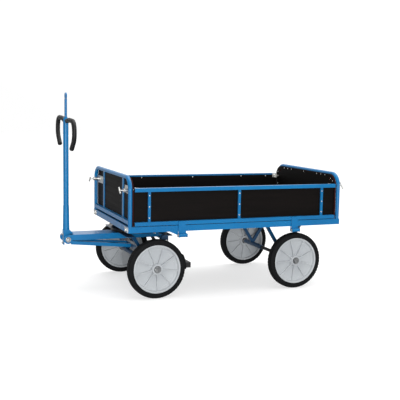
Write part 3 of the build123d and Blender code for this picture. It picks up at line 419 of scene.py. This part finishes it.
# turns a bmesh into a piece that rides on a body and takes its finish from a slot
def finishPiece(mesh, name, body, slot, finish=None, replaced=(), bevel=None, sharp=40.0):
    data = bpy.data.meshes.new(name)
    mesh.to_mesh(data)
    mesh.free()
    data.shade_smooth()
    data.set_sharp_from_angle(angle=math.radians(sharp))
    piece = bpy.data.objects.new(name, data)
    scene.collection.objects.link(piece)
    data.materials.append(finishes[finish or slot])
    if bevel:
        rounding = piece.modifiers.new("roundedEdges", "BEVEL")
        rounding.width = bevel
        rounding.segments = meshLook["bevelSegments"]
        rounding.limit_method = "ANGLE"
        rounding.angle_limit = math.radians(sharp)
        rounding.miter_outer = "MITER_ARC"
        weighted = piece.modifiers.new("evenNormals", "WEIGHTED_NORMAL")
        weighted.keep_sharp = False
    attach(piece, body)
    if replaced:
        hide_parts(*replaced)
    return piece


def roundedCopy(node, body, slot, width, finish=None):  # the CAD node's own shape with its edges rounded
    mesh = weldedMesh(node)
    for edge in mesh.edges:
        edge.smooth = True
    return finishPiece(mesh, node + "_rounded", body, slot, finish, (node,), width)


def outwardTurn(outward):  # rotation that takes +Z to a direction
    return Vector(outward).to_track_quat("Z", "Y").to_matrix()


# turns (radius, height) points about an axis through base
def latheInto(mesh, profile, base, outward, steps, closed=False):
    turn = outwardTurn(outward)
    rings = []
    for radius, height in profile:
        if radius < 1e-7:
            rings.append([mesh.verts.new(Vector(base) + turn @ Vector((0, 0, height)))])
            continue
        ring = []
        for step in range(steps):
            angle = 2 * math.pi * step / steps
            spot = Vector((radius * math.cos(angle), radius * math.sin(angle), height))
            ring.append(mesh.verts.new(Vector(base) + turn @ spot))
        rings.append(ring)
    pairs = list(zip(rings, rings[1:]))
    if closed:
        pairs.append((rings[-1], rings[0]))
    for low, high in pairs:
        for step in range(steps):
            following = (step + 1) % steps
            if len(low) == 1:
                mesh.faces.new((low[0], high[following], high[step]))
            elif len(high) == 1:
                mesh.faces.new((low[step], low[following], high[0]))
            else:
                mesh.faces.new((low[step], low[following], high[following], high[step]))


def domeInto(mesh, base, outward, radius, height, steps=20):  # rivet head: low dome with a tiny flange
    look = boltHeadLook
    flange, rings = height * look["flange"], look["domeRings"]
    profile = [(0, 0), (radius, 0), (radius, flange)]
    for part in range(1, rings + 1):
        angle = math.pi / 2 * part / rings
        profile.append((radius * look["dome"] * math.cos(angle) if part < rings else 0,
                        flange + (height - flange) * math.sin(angle)))
    latheInto(mesh, profile, base, outward, steps)


# hexagon nut or bolt head: flats with the corners turned off at the outer face
def hexInto(mesh, base, outward, radius, thick):
    turn = outwardTurn(outward)
    look, rings = boltHeadLook, []
    steps = look["hexSteps"]
    for height, full in ((0, True), (thick * (1 - look["chamfer"]), True), (thick, False)):
        ring = []
        for step in range(steps):
            angle = 2 * math.pi * step / steps
            flat = radius * math.cos(math.pi / 6) / math.cos((angle % (math.pi / 3)) - math.pi / 6)
            reach = flat if full else min(flat, radius * look["hexCorner"])
            ring.append(mesh.verts.new(Vector(base) + turn @ Vector((reach * math.cos(angle),
                                                                     reach * math.sin(angle), height))))
        rings.append(ring)
    for low, high in zip(rings, rings[1:]):
        for step in range(steps):
            following = (step + 1) % steps
            mesh.faces.new((low[step], low[following], high[following], high[step]))
    mesh.faces.new(rings[0][::-1])
    mesh.faces.new(rings[-1])


def washerInto(mesh, base, outward, radius, bore, thick):
    edge = min(thick * 0.2, 0.001)
    latheInto(mesh, [(bore, 0), (radius - edge, 0), (radius, edge), (radius, thick - edge),
                     (radius - edge, thick), (bore, thick)], base, outward, 48, True)


# threaded end: fine rings and a chamfered tip
def boltEndInto(mesh, base, outward, radius, length, pitch=0.0015):
    look = boltHeadLook
    floor = radius * look["threadFloor"]
    profile = [(0, 0), (floor, 0)]
    turns = max(2, int(length / pitch))
    for turn in range(turns):
        start = length * turn / (turns + 1)
        profile += [(floor, start), (radius, start + pitch * 0.5)]
    profile += [(floor, length * look["threadEnd"]), (radius * look["tip"], length), (0, length)]
    latheInto(mesh, profile, base, outward, 32)


# weld bead: a rippled roll of metal along a line of points
def beadInto(mesh, points, radius, closed=True):
    look, spots = beadLook, []
    count, sides = len(points), look["sides"]
    for index in range(count if closed else count - 1):
        start, stop = Vector(points[index]), Vector(points[(index + 1) % count])
        steps = max(2, int((stop - start).length / (radius * look["spacing"])))
        spots += [start.lerp(stop, step / steps) for step in range(steps)]
    if not closed:
        spots.append(Vector(points[-1]))
    rings = []
    total = len(spots)
    for index, spot in enumerate(spots):
        ahead = spots[(index + 1) % total] if closed or index < total - 1 else spot
        behind = spots[index - 1] if closed or index else spot
        turn = outwardTurn((ahead - behind).normalized())
        size = radius * (1.0 if index % 2 else look["dip"]) * random.uniform(look["least"], look["most"])
        angles = [2 * math.pi * side / sides for side in range(sides)]
        ring = [Vector((size * math.cos(angle), size * math.sin(angle), 0)) for angle in angles]
        rings.append([mesh.verts.new(spot + turn @ place) for place in ring])
    pairs = list(zip(rings, rings[1:]))
    if closed:
        pairs.append((rings[-1], rings[0]))
    else:
        mesh.faces.new(rings[0])
        mesh.faces.new(rings[-1][::-1])
    for low, high in pairs:
        for side in range(sides):
            following = (side + 1) % sides
            mesh.faces.new((low[side], high[side], high[following], low[following]))


def settleNormals(mesh):
    bmesh.ops.recalc_face_normals(mesh, faces=mesh.faces)
    return mesh


# wheels

wheelLook = {
    "ribs": 9, "ribTurn": {"front": 27.0, "rear": 36.0}, "lugs": 54, "grooveDepth": 0.003,
    "slotDepth": 0.0024, "sipeDepth": 0.0014, "sideGroove": 0.0007, "seatGap": 0.0003, "crownDrop": 0.0006,
    "rimBore": 0.0203, "rimSteps": 144, "rimInset": 0.001,
}


# tyre with grooves round the tread, slotted shoulders and fine side rings; centred on its axle along Y
def tyreMesh(outer, inner, half, look):
    crown = half * 0.66
    groove = look["grooveDepth"]
    side = look["sideGroove"]
    cut = half * 0.03

    def crownAt(y):
        return outer - look["crownDrop"] * (y / crown) ** 2

    halfProfile = [(0.0, outer, "centre")]
    for low, high in ((0.16, 0.26), (0.53, 0.62)):
        halfProfile += [(half * low, crownAt(half * low), "centre"),
                        (half * low + cut, crownAt(half * low) - groove, "floor"),
                        (half * high - cut, crownAt(half * high) - groove, "floor"),
                        (half * high, crownAt(half * high), "shoulder" if low > 0.5 else "centre")]
    halfProfile += [(half * 0.78, outer - 0.0019, "shoulder"), (half * 0.9, outer - 0.0046, "shoulder"),
                    (half * 0.97, outer - 0.0092, "shoulder"), (half, outer - 0.0155, "side")]
    wall = outer - inner
    for part in (0.5, 0.68):
        middle = outer - wall * part
        halfProfile += [(half, middle + 0.0016, "side"), (half - side, middle + 0.0009, "side"),
                        (half - side, middle - 0.0009, "side"), (half, middle - 0.0016, "side")]
    halfProfile += [(half * 0.995, inner + 0.004, "side"), (half * 0.965, inner + look["seatGap"], "side"),
                    (half * 0.84, inner + look["seatGap"], "side"), (half * 0.84, inner - 0.0055, "side")]
    profile = [(-y, r, tag) for y, r, tag in reversed(halfProfile)] + halfProfile[1:]
    mesh = bmesh.new()
    fractions = ((0.0, 0, 0), (0.05, 1, 0), (0.23, 1, 0), (0.28, 0, 0),
                 (0.56, 0, 0), (0.6, 0, 1), (0.68, 0, 1), (0.72, 0, 0))
    columns = []
    for lug in range(look["lugs"]):
        for fraction, slot, sipe in fractions:
            angle = 2 * math.pi * (lug + fraction) / look["lugs"]
            column = []
            for y, radius, tag in profile:
                if tag == "shoulder":
                    radius -= slot * look["slotDepth"]
                elif tag == "centre":
                    radius -= sipe * look["sipeDepth"]
                column.append(mesh.verts.new((radius * math.cos(angle), y, radius * math.sin(angle))))
            columns.append(column)
    for first, second in zip(columns, columns[1:] + columns[:1]):
        for row in range(len(profile)):
            following = (row + 1) % len(profile)
            mesh.faces.new((first[row], second[row], second[following], first[following]))
    return settleNormals(mesh)


# moulded rim: rolled lips, pocketed disc, hub boss and tapered ribs on both faces
def rimMesh(outer, half, hubHalf, turn, look):
    mesh = bmesh.new()
    bore = look["rimBore"]
    seat = outer - 0.006
    halfProfile = [
        (bore, hubHalf - 0.001), (bore + 0.001, hubHalf), (bore + 0.0135, hubHalf),
        (bore + 0.0155, hubHalf - 0.002),
        (bore + 0.018, 0.009), (bore + 0.021, 0.0055), (bore + 0.026, 0.0042), (outer - 0.037, 0.0042),
        (outer - 0.0345, 0.005), (outer - 0.033, 0.0072), (outer - 0.019, 0.0078), (outer - 0.0155, 0.0095),
        (outer - 0.0138, 0.013), (outer - 0.0125, half - 0.003), (outer - 0.0115, half - 0.0012),
        (outer - 0.0095, half), (outer - 0.0035, half), (outer - 0.0012, half - 0.0008),
        (outer - 0.0002, half - 0.0022), (outer - 0.0002, half - 0.0037), (seat, half - 0.0041),
    ]
    profile = halfProfile + [(radius, -height) for radius, height in reversed(halfProfile)]
    latheInto(mesh, profile, (0, 0, 0), (0, 1, 0), look["rimSteps"], True)
    hubEdge, lipEdge = bore + 0.013, outer - 0.0125
    stations = (  # along the rib: part of the way out, height, half width at the top
        (0.0, 0.0235, 0.0046), (0.08, 0.0212, 0.0034), (0.2, 0.0198, 0.0026), (0.5, 0.019, 0.0022),
        (0.85, 0.019, 0.0023), (0.94, 0.0196, 0.003), (1.0, 0.0212, 0.0044),
    )
    for rib in range(look["ribs"]):
        angle = math.radians(turn) + 2 * math.pi * rib / look["ribs"]
        along = Vector((math.cos(angle), 0, math.sin(angle)))
        across = Vector((-math.sin(angle), 0, math.cos(angle)))
        for face in (1, -1):
            up = Vector((0, face, 0))
            rows = []
            for part, height, width in stations:
                spot = along * (hubEdge + (lipEdge - hubEdge) * part)
                section = ((-width - 0.0016, 0.003), (-width - 0.0004, height - 0.0016),
                           (-width + 0.0008, height - 0.0003),
                           (0, height), (width - 0.0008, height - 0.0003), (width + 0.0004, height - 0.0016),
                           (width + 0.0016, 0.003))
                rows.append([mesh.verts.new(spot + across * wide + up * high) for wide, high in section])
            for first, second in zip(rows, rows[1:]):
                for index in range(len(first) - 1):
                    mesh.faces.new((first[index], first[index + 1], second[index + 1], second[index]))
                mesh.faces.new((first[-1], first[0], second[0], second[-1]))
            mesh.faces.new(rows[0])
            mesh.faces.new(rows[-1])
    return settleNormals(mesh)


for place in ("front", "rear"):
    for hand in ("left", "right"):
        wheel = f"{place}_{hand}"
        body = wheel + "_wheel"
        low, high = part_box(wheel + "_tyre")
        centre, tyreHalf = (low + high) / 2, (high.y - low.y) / 2
        rimLow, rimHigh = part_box(wheel + "_rim")
        rimOuter, rimHalf = rimHigh.z - centre.z, tyreHalf - wheelLook["rimInset"]
        tyre = tyreMesh((high.z - low.z) / 2, rimOuter, tyreHalf, wheelLook)
        bmesh.ops.translate(tyre, verts=tyre.verts, vec=centre)
        finishPiece(tyre, wheel + "_tyre_tread", body, "tyre_rubber", replaced=(wheel + "_tyre",), sharp=30)
        rim = rimMesh(rimOuter, rimHalf, (rimHigh.y - rimLow.y) / 2, wheelLook["ribTurn"][place], wheelLook)
        bmesh.ops.translate(rim, verts=rim.verts, vec=centre)
        finishPiece(rim, wheel + "_rim_ribbed", body, "rim_plastic", replaced=(wheel + "_rim",), sharp=35)
        roundedCopy(wheel + "_hub_bush", body, "bush_plastic", 0.0006)
print("wheels done")


# axles

axleLook = {"bevel": 0.0008, "frameBevel": 0.0012, "bore": 0.0126, "washer": 0.003, "nutShare": 0.864}


def axleNutMesh(node, look):  # collars inside the wheels, washers and hexagon nuts outside them
    mesh = bmesh.new()
    for low, high in islandBoxes(node):
        middle, size = (low + high) / 2, high - low
        side = 1 if middle.y > 0 else -1
        start = Vector((middle.x, low.y if side > 0 else high.y, middle.z))
        outward = Vector((0, side, 0))
        if size.y < look["washer"] * 5 and abs(middle.y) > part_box("front_left_tyre")[1].y:
            washerInto(mesh, start, outward, size.x / 2, look["bore"], look["washer"])
            hexInto(mesh, start + outward * look["washer"], outward, size.x / 2 * look["nutShare"],
                    size.y - look["washer"])
        else:
            washerInto(mesh, start, outward, size.x / 2, look["bore"], size.y)
    return settleNormals(mesh)


for place, body in (("front", "steering"), ("rear", "chassis")):
    # axle frames in the darker blue paint: painted shade under the deck; shafts in dark steel
    roundedCopy(f"{place}_axle_frame", body, "blue_paint", axleLook["frameBevel"], "shaded_blue_paint")
    roundedCopy(f"{place}_axle_shaft", body, "bare_steel", axleLook["bevel"], "dark_steel_shade")
    finishPiece(axleNutMesh(f"{place}_axle_nuts", axleLook), f"{place}_axle_nuts_turned", body, "zinc",
                "bare_steel", replaced=(f"{place}_axle_nuts",), sharp=30)
print("axles done")


# frames, walls and deck keep the CAD shape with rounded edges

# the darker blue paint and dark steel finishes below are painted shade for parts under the deck
roundings = [  # node, body, slot, edge rounding, finish if it differs from the slot
    ("deck_frame", "chassis", "blue_paint", 0.0015, None),
    ("deck_crossmembers", "chassis", "blue_paint", 0.001, "shaded_blue_paint"),
    ("deck_screws", "chassis", "zinc", 0.0004, None),
    ("turntable_balls", "chassis", "bare_steel", None, None),
    ("wall_clamps", "chassis", "zinc", 0.0008, None),
    ("turntable_top_ring", "chassis", "zinc", 0.0012, "dark_steel_shade"),
    ("side_hinge_brackets", "chassis", "blue_paint", 0.0008, None),
    ("side_hinge_pins", "chassis", "zinc", 0.0008, None),
    ("front_wall_frame", "chassis", "blue_paint", 0.001, None),
    ("rear_wall_frame", "chassis", "blue_paint", 0.001, None),
    ("latch_housings", "chassis", "zinc", 0.0008, None),
    ("deck_panel", "chassis", "film_plywood", 0.0006, "deck_plywood"),
    ("front_wall_panel", "chassis", "film_plywood", 0.0008, "end_plywood"),
    ("rear_wall_panel", "chassis", "film_plywood", 0.0008, "end_plywood"),
    ("left_wall_frame", "left_wall", "blue_paint", 0.001, None),
    ("right_wall_frame", "right_wall", "blue_paint", 0.001, None),
    ("left_wall_panel", "left_wall", "film_plywood", 0.0008, None),
    ("right_wall_panel", "right_wall", "film_plywood", 0.0008, None),
    ("left_wall_keepers", "left_wall", "zinc", 0.0008, None),
    ("right_wall_keepers", "right_wall", "zinc", 0.0008, None),
    ("turntable_bottom_ring", "steering", "zinc", 0.0012, "dark_steel_shade"),
    ("steering_bars", "steering", "blue_paint", 0.001, "shaded_blue_paint"),
    ("turntable_bolts", "steering", "zinc", 0.0006, None),
    ("drawbar_spring", "steering", "bare_steel", None, None),
    ("draw_tongue", "steering", "blue_paint", 0.001, None),
    ("brake_shaft", "steering", "zinc", 0.0008, None),
    ("brake_frame", "brake", "black_paint", 0.0012, None),
    ("brake_shoes", "brake", "brake_rubber", 0.001, None),
    ("drawbar_tube", "drawbar", "blue_paint", 0.0008, None),
    ("drawbar_foot", "drawbar", "blue_paint", 0.0015, None),
    ("tow_eye", "drawbar", "blue_paint", 0.0022, None),
    ("handle_horns", "drawbar", "blue_paint", 0.0008, None),
]
for corner in ("front_left", "front_right", "rear_left", "rear_right"):
    roundings.append((corner + "_latch_bolt", corner + "_latch", "zinc", 0.0008, None))
for node, body, slot, width, finish in roundings:
    roundedCopy(node, body, slot, width, finish)
print("rounded pieces done:", len(roundings))


# rivets and screws

rivetLook = {"steps": 20, "plateScrew": 0.0042, "plateScrewHeight": 0.0026, "plateScrewSteps": 16,
             "plateInset": 0.007, "plateSeat": 0.002}


# domed heads where the CAD has plain discs; facing gives each head's outward direction
def rivetPiece(node, body, facing):
    mesh = bmesh.new()
    for low, high in islandBoxes(node):
        middle, size = (low + high) / 2, high - low
        outward = facing(middle)
        height = abs(size.dot(outward))
        base = middle - outward * height / 2
        domeInto(mesh, base, outward, max(size) / 2, height, rivetLook["steps"])
    finishPiece(settleNormals(mesh), node + "_domed", body, "zinc", replaced=(node,), sharp=50)


def endFacing(middle):
    return Vector((-1 if middle.x > deckMiddle.x else 1, 0, 0))


def sideFacing(frameNode):
    wallMiddle = middleOf(frameNode.replace("rivets", "panel")).y

    def facing(middle):
        return Vector((0, 1 if middle.y > wallMiddle else -1, 0))
    return facing


rivetPiece("end_wall_rivets", "chassis", endFacing)
for hand in ("left", "right"):
    rivetPiece(f"{hand}_wall_rivets", f"{hand}_wall", sideFacing(f"{hand}_wall_rivets"))

plateScrews = bmesh.new()
for low, high in islandBoxes("latch_housings"):
    end = 1 if (low.x + high.x) / 2 > deckMiddle.x else -1
    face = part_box("front_wall_panel" if end > 0 else "rear_wall_panel")[1 if end > 0 else 0].x
    inset = rivetLook["plateInset"]
    for y in (low.y + inset, high.y - inset):
        for z in (low.z + inset, high.z - inset):
            domeInto(plateScrews, Vector((face + end * rivetLook["plateSeat"], y, z)), (end, 0, 0),
                     rivetLook["plateScrew"], rivetLook["plateScrewHeight"], rivetLook["plateScrewSteps"])
finishPiece(settleNormals(plateScrews), "latch_plate_screws", "chassis", "zinc", "bare_steel", sharp=50)
print("rivets done")


# bolts at the drawbar's foot

boltLook = {"washerRadius": 0.019, "washer": 0.003, "bore": 0.0092, "nutRadius": 0.017, "nut": 0.012,
            "threadRadius": 0.009}


# washer and nut on each side of the tongue, with the threaded end beyond the left nut
def pivotBoltMesh(look):
    mesh = bmesh.new()
    low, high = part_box("drawbar_pivot_bolt")
    centre, tongueHigh = (low + high) / 2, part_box("draw_tongue")[1].y
    for side in (1, -1):
        outward = Vector((0, side, 0))
        start = Vector((centre.x, side * tongueHigh, centre.z))
        washerInto(mesh, start, outward, look["washerRadius"], look["bore"], look["washer"])
        seat = start + outward * look["washer"]
        hexInto(mesh, seat, outward, look["nutRadius"], look["nut"])
    face = tongueHigh + look["washer"] + look["nut"]
    boltEndInto(mesh, Vector((centre.x, face, centre.z)), (0, 1, 0), look["threadRadius"], high.y - face)
    return settleNormals(mesh)


finishPiece(pivotBoltMesh(boltLook), "drawbar_pivot_nuts", "steering", "zinc", "bare_steel",
            replaced=("drawbar_pivot_bolt",), sharp=30)
footBolts = bmesh.new()
for low, high in islandBoxes("foot_bolts"):
    hexInto(footBolts, Vector((low.x, (low.y + high.y) / 2, (low.z + high.z) / 2)), (1, 0, 0),
            (high.z - low.z) / 2, high.x - low.x)
finishPiece(settleNormals(footBolts), "foot_bolt_heads", "drawbar", "zinc", replaced=("foot_bolts",),
            sharp=30)
print("bolts done")


# grips: ribbed sleeves over the bent handle rods

handleLook = {
    "root": (0.0, 1.166), "crown": (0.110, 1.184), "shoulder": (0.278, 1.184), "waist": (0.284, 1.068),
    "end": (0.203, 0.999), "bends": (0.150, 0.068, 0.080), "tilt": 2.5, "bareShare": 0.42,
    "rod": 0.010, "ringPitch": 0.0062, "ringDepth": 0.0009, "ringShare": 0.55, "ringTop": 0.15,
    "plainStart": 0.006, "plainEnd": 0.012, "step": 0.00155, "sides": 40,
    "cap": ((0.0015, 0.99), (0.0035, 0.94), (0.005, 0.8), (0.0058, 0.5)),  # reach, share of the radius
}


def bentPath(corners, bends, step):  # evenly spaced points along straight runs joined by round bends
    line = [corners[0]]
    for index, radius in enumerate(bends):
        before, corner, after = corners[index:index + 3]
        back, ahead = (before - corner).normalized(), (after - corner).normalized()
        half = back.angle(ahead) / 2
        trim = radius / math.tan(half)
        centre = corner + (back + ahead).normalized() * radius / math.sin(half)
        first, last = corner + back * trim - centre, corner + ahead * trim - centre
        turns = max(4, int(first.angle(last) / math.radians(3)))
        line += [centre + first.slerp(last, turn / turns, first).normalized() * radius
                 for turn in range(turns + 1)]
    line.append(corners[-1])
    spots, carried = [line[0]], 0.0
    for start, stop in zip(line, line[1:]):
        length = (stop - start).length
        while length > 0 and carried + step <= length:
            carried += step
            spots.append(start.lerp(stop, carried / length))
        carried -= length
    spots.append(line[-1])
    return spots


def gripMesh(side, look):
    low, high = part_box("handle_grips")
    x = (low.x + high.x) / 2
    tilt = math.radians(look["tilt"])

    def placed(spot):
        y, rise = side * spot[0], spot[1] - look["root"][1]
        return Vector((x, y * math.cos(tilt) + rise * math.sin(tilt),
                       look["root"][1] + rise * math.cos(tilt) - y * math.sin(tilt)))

    root, crown = Vector(look["root"]), Vector(look["crown"])
    start = root.lerp(crown, look["bareShare"])
    corners = [placed(spot) for spot in (start, crown, look["shoulder"], look["waist"], look["end"])]
    spots = bentPath(corners, look["bends"], look["step"])
    radius = (high.x - low.x) / 2
    heading = (spots[-1] - spots[-8]).normalized()
    total = len(spots)
    rings = []
    for index, spot in enumerate(spots):
        ahead = spots[min(index + 2, total - 1)] - spots[max(index - 2, 0)]
        travelled = index * look["step"]
        left = (total - 1 - index) * look["step"]
        size = radius - look["ringDepth"]
        if travelled < look["plainStart"] or left < look["plainEnd"]:
            size = radius
        elif (travelled % look["ringPitch"]) < look["ringPitch"] * look["ringShare"]:
            size = radius - look["ringDepth"] * look["ringTop"]
        rings.append((spot, ahead.normalized(), size))
    first = rings[0]
    rings = [(first[0], first[1], look["rod"] + 0.0002), (first[0], first[1], radius - 0.0012)] + rings[1:]
    for reach, share in look["cap"]:
        rings.append((spots[-1] + heading * reach, heading, radius * share))
    mesh = bmesh.new()
    loops = []
    for spot, ahead, size in rings:
        flat = Vector((1, 0, 0))
        across = ahead.cross(flat).normalized()
        loops.append([mesh.verts.new(spot + size * (flat * math.cos(turn) + across * math.sin(turn)))
                      for turn in (2 * math.pi * part / look["sides"] for part in range(look["sides"]))])
    for low, high in zip(loops, loops[1:]):
        for part in range(look["sides"]):
            following = (part + 1) % look["sides"]
            mesh.faces.new((low[part], low[following], high[following], high[part]))
    mesh.faces.new(loops[-1])
    return settleNormals(mesh)


grips = [finishPiece(gripMesh(side, handleLook), name + "_grip_sleeve", "drawbar", "grip_rubber", sharp=60)
         for side, name in ((1, "left"), (-1, "right"))]
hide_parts("handle_grips")
print("grips done")


# weld beads where posts and bars meet rails

weldLook = {"radius": 0.0019, "postLength": 0.1, "postWidth": 0.06}


def loopAt(low, high, z):
    return [(low.x, low.y, z), (high.x, low.y, z), (high.x, high.y, z), (low.x, high.y, z)]


def weldPosts(node, body, look):  # a bead round the top and bottom of every upright bar of a welded frame
    mesh = bmesh.new()
    for low, high in islandBoxes(node):
        size = high - low
        if size.z > look["postLength"] and max(size.x, size.y) < look["postWidth"]:
            for z in (low.z, high.z):
                beadInto(mesh, loopAt(low, high, z), look["radius"])
    if len(mesh.verts):
        finishPiece(settleNormals(mesh), node + "_welds", body, "blue_paint", sharp=80)
    else:
        mesh.free()


for hand in ("left", "right"):
    weldPosts(f"{hand}_wall_frame", f"{hand}_wall", weldLook)
for place in ("front", "rear"):
    weldPosts(f"{place}_wall_frame", "chassis", weldLook)
print("welds done")


# plugs in the open ends of the side walls' rails

railPlugLook = {"rail": 0.025, "wall": 0.002, "depth": 0.008, "proud": 0.0012, "bevel": 0.0008,
                "railLength": 1.0}


def plugMesh(node, look):
    mesh = bmesh.new()
    panelLow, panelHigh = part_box(node.replace("frame", "panel"))
    railLow = panelHigh.y if panelHigh.y > 0 else panelLow.y - look["rail"]
    inside = look["rail"] - 2 * look["wall"]
    for low, high in islandBoxes(node):
        if high.x - low.x < look["railLength"]:
            continue
        for end, x in ((-1, low.x), (1, high.x)):
            inner, outer = sorted((x - end * look["depth"], x + end * look["proud"]))
            corner = Vector((inner, railLow + look["wall"], high.z - look["rail"] + look["wall"]))
            size = Vector((outer - inner, inside, inside))
            made = bmesh.ops.create_cube(mesh, size=1.0)
            bmesh.ops.scale(mesh, vec=size, verts=made["verts"])
            bmesh.ops.translate(mesh, vec=corner + size / 2, verts=made["verts"])
    return settleNormals(mesh)


for hand in ("left", "right"):
    finishPiece(plugMesh(f"{hand}_wall_frame", railPlugLook), f"{hand}_rail_plugs", f"{hand}_wall",
                "bush_plastic", "plug_plastic", bevel=railPlugLook["bevel"])
print("plugs done")


# camera, floor and light

cameraLook = {
    "offset": (2.13283, 5.11824, 1.26563),  # from the deck's middle, height above the floor
    "yaw": -21.579, "pitch": -6.904, "roll": 1.042, "lens": 67.28, "sensor": 36.0,
}


def placeCamera(look):
    yaw, pitch, roll = (math.radians(look[key]) for key in ("yaw", "pitch", "roll"))
    forward = Vector((math.sin(yaw) * math.cos(pitch), -math.cos(yaw) * math.cos(pitch), math.sin(pitch)))
    right = forward.cross(Vector((0, 0, 1))).normalized()
    up = right.cross(forward)
    level = right * math.cos(roll) + up * math.sin(roll)
    top = up * math.cos(roll) - right * math.sin(roll)
    data = bpy.data.cameras.new("camera")
    data.lens, data.sensor_width = look["lens"], look["sensor"]
    data.clip_end = 100
    camera = bpy.data.objects.new("camera", data)
    scene.collection.objects.link(camera)
    spot = Vector((deckMiddle.x + look["offset"][0], look["offset"][1], look["offset"][2]))
    turn = Matrix((level, top, -forward)).transposed().to_4x4()
    camera.matrix_world = Matrix.Translation(spot) @ turn
    scene.camera = camera


studioLook = {
    "floorSize": 60.0, "floorSeen": 0.5, "floorGlow": 0.6, "floorBounce": 0.5,
    "worldAim": (-0.5, -0.45, 0.74), "worldLow": 0.38, "worldHigh": 1.4,
    "key": {"place": (0.6, 4.6, 4.4), "size": 3.6, "power": 40.0},
    "front": {"place": (2.7, 8.8, 1.2), "size": 2.3, "power": 520.0},
    "top": {"place": (-0.6, -0.6, 5.2), "size": 4.5, "power": 130.0},
}


def addSoftBox(name, look):
    data = bpy.data.lights.new(name, "AREA")
    data.shape = "SQUARE"
    data.size, data.energy = look["size"], look["power"]
    light = bpy.data.objects.new(name, data)
    light.visible_camera = False
    scene.collection.objects.link(light)
    place = Vector(look["place"])
    aim = Vector((deckMiddle.x, 0, 0.5)) - place
    light.matrix_world = Matrix.Translation(place) @ aim.to_track_quat("-Z", "Y").to_matrix().to_4x4()


def makeFloor(look):
    mesh = bmesh.new()
    bmesh.ops.create_grid(mesh, x_segments=8, y_segments=8, size=look["floorSize"] / 2)
    data = bpy.data.meshes.new("floor")
    mesh.to_mesh(data)
    mesh.free()
    floor = bpy.data.objects.new("floor", data)
    scene.collection.objects.link(floor)
    material, tree, shader = startMaterial("paleFloor", 0.9, Specular_IOR_Level=0.1)
    path = addNode(tree, "LightPath")
    seen, bounce = look["floorSeen"], look["floorBounce"]
    tree.links.new(mixColour(tree, path.outputs["Is Camera Ray"], (bounce, bounce, bounce, 1.0),
                             (seen, seen, seen, 1.0)), shader.inputs["Base Color"])
    shader.inputs["Emission Color"].default_value = (1, 1, 1, 1)
    glow = mathNode(tree, "MULTIPLY", path.outputs["Is Camera Ray"], look["floorGlow"])
    tree.links.new(glow, shader.inputs["Emission Strength"])
    data.materials.append(material)


def makeWorld(look):
    world = bpy.data.worlds.new("studio")
    scene.world = world
    world.use_nodes = True
    tree = world.node_tree
    background = tree.nodes["Background"]
    background.inputs["Color"].default_value = (1, 1, 1, 1)
    place = addNode(tree, "TexCoord")
    aim = addNode(tree, "VectorMath", {1: look["worldAim"]}, operation="DOT_PRODUCT")
    tree.links.new(place.outputs["Generated"], aim.inputs[0])
    gradient = rangeNode(tree, aim.outputs["Value"], 0.1, 0.8, look["worldLow"], look["worldHigh"])
    path = addNode(tree, "LightPath")
    strength = mathNode(tree, "MAXIMUM", gradient, path.outputs["Is Camera Ray"])
    tree.links.new(strength, background.inputs["Strength"])


placeCamera(cameraLook)
makeWorld(studioLook)
makeFloor(studioLook)
for name in ("key", "front", "top"):
    addSoftBox(name + "Light", studioLook[name])
print("studio ready")
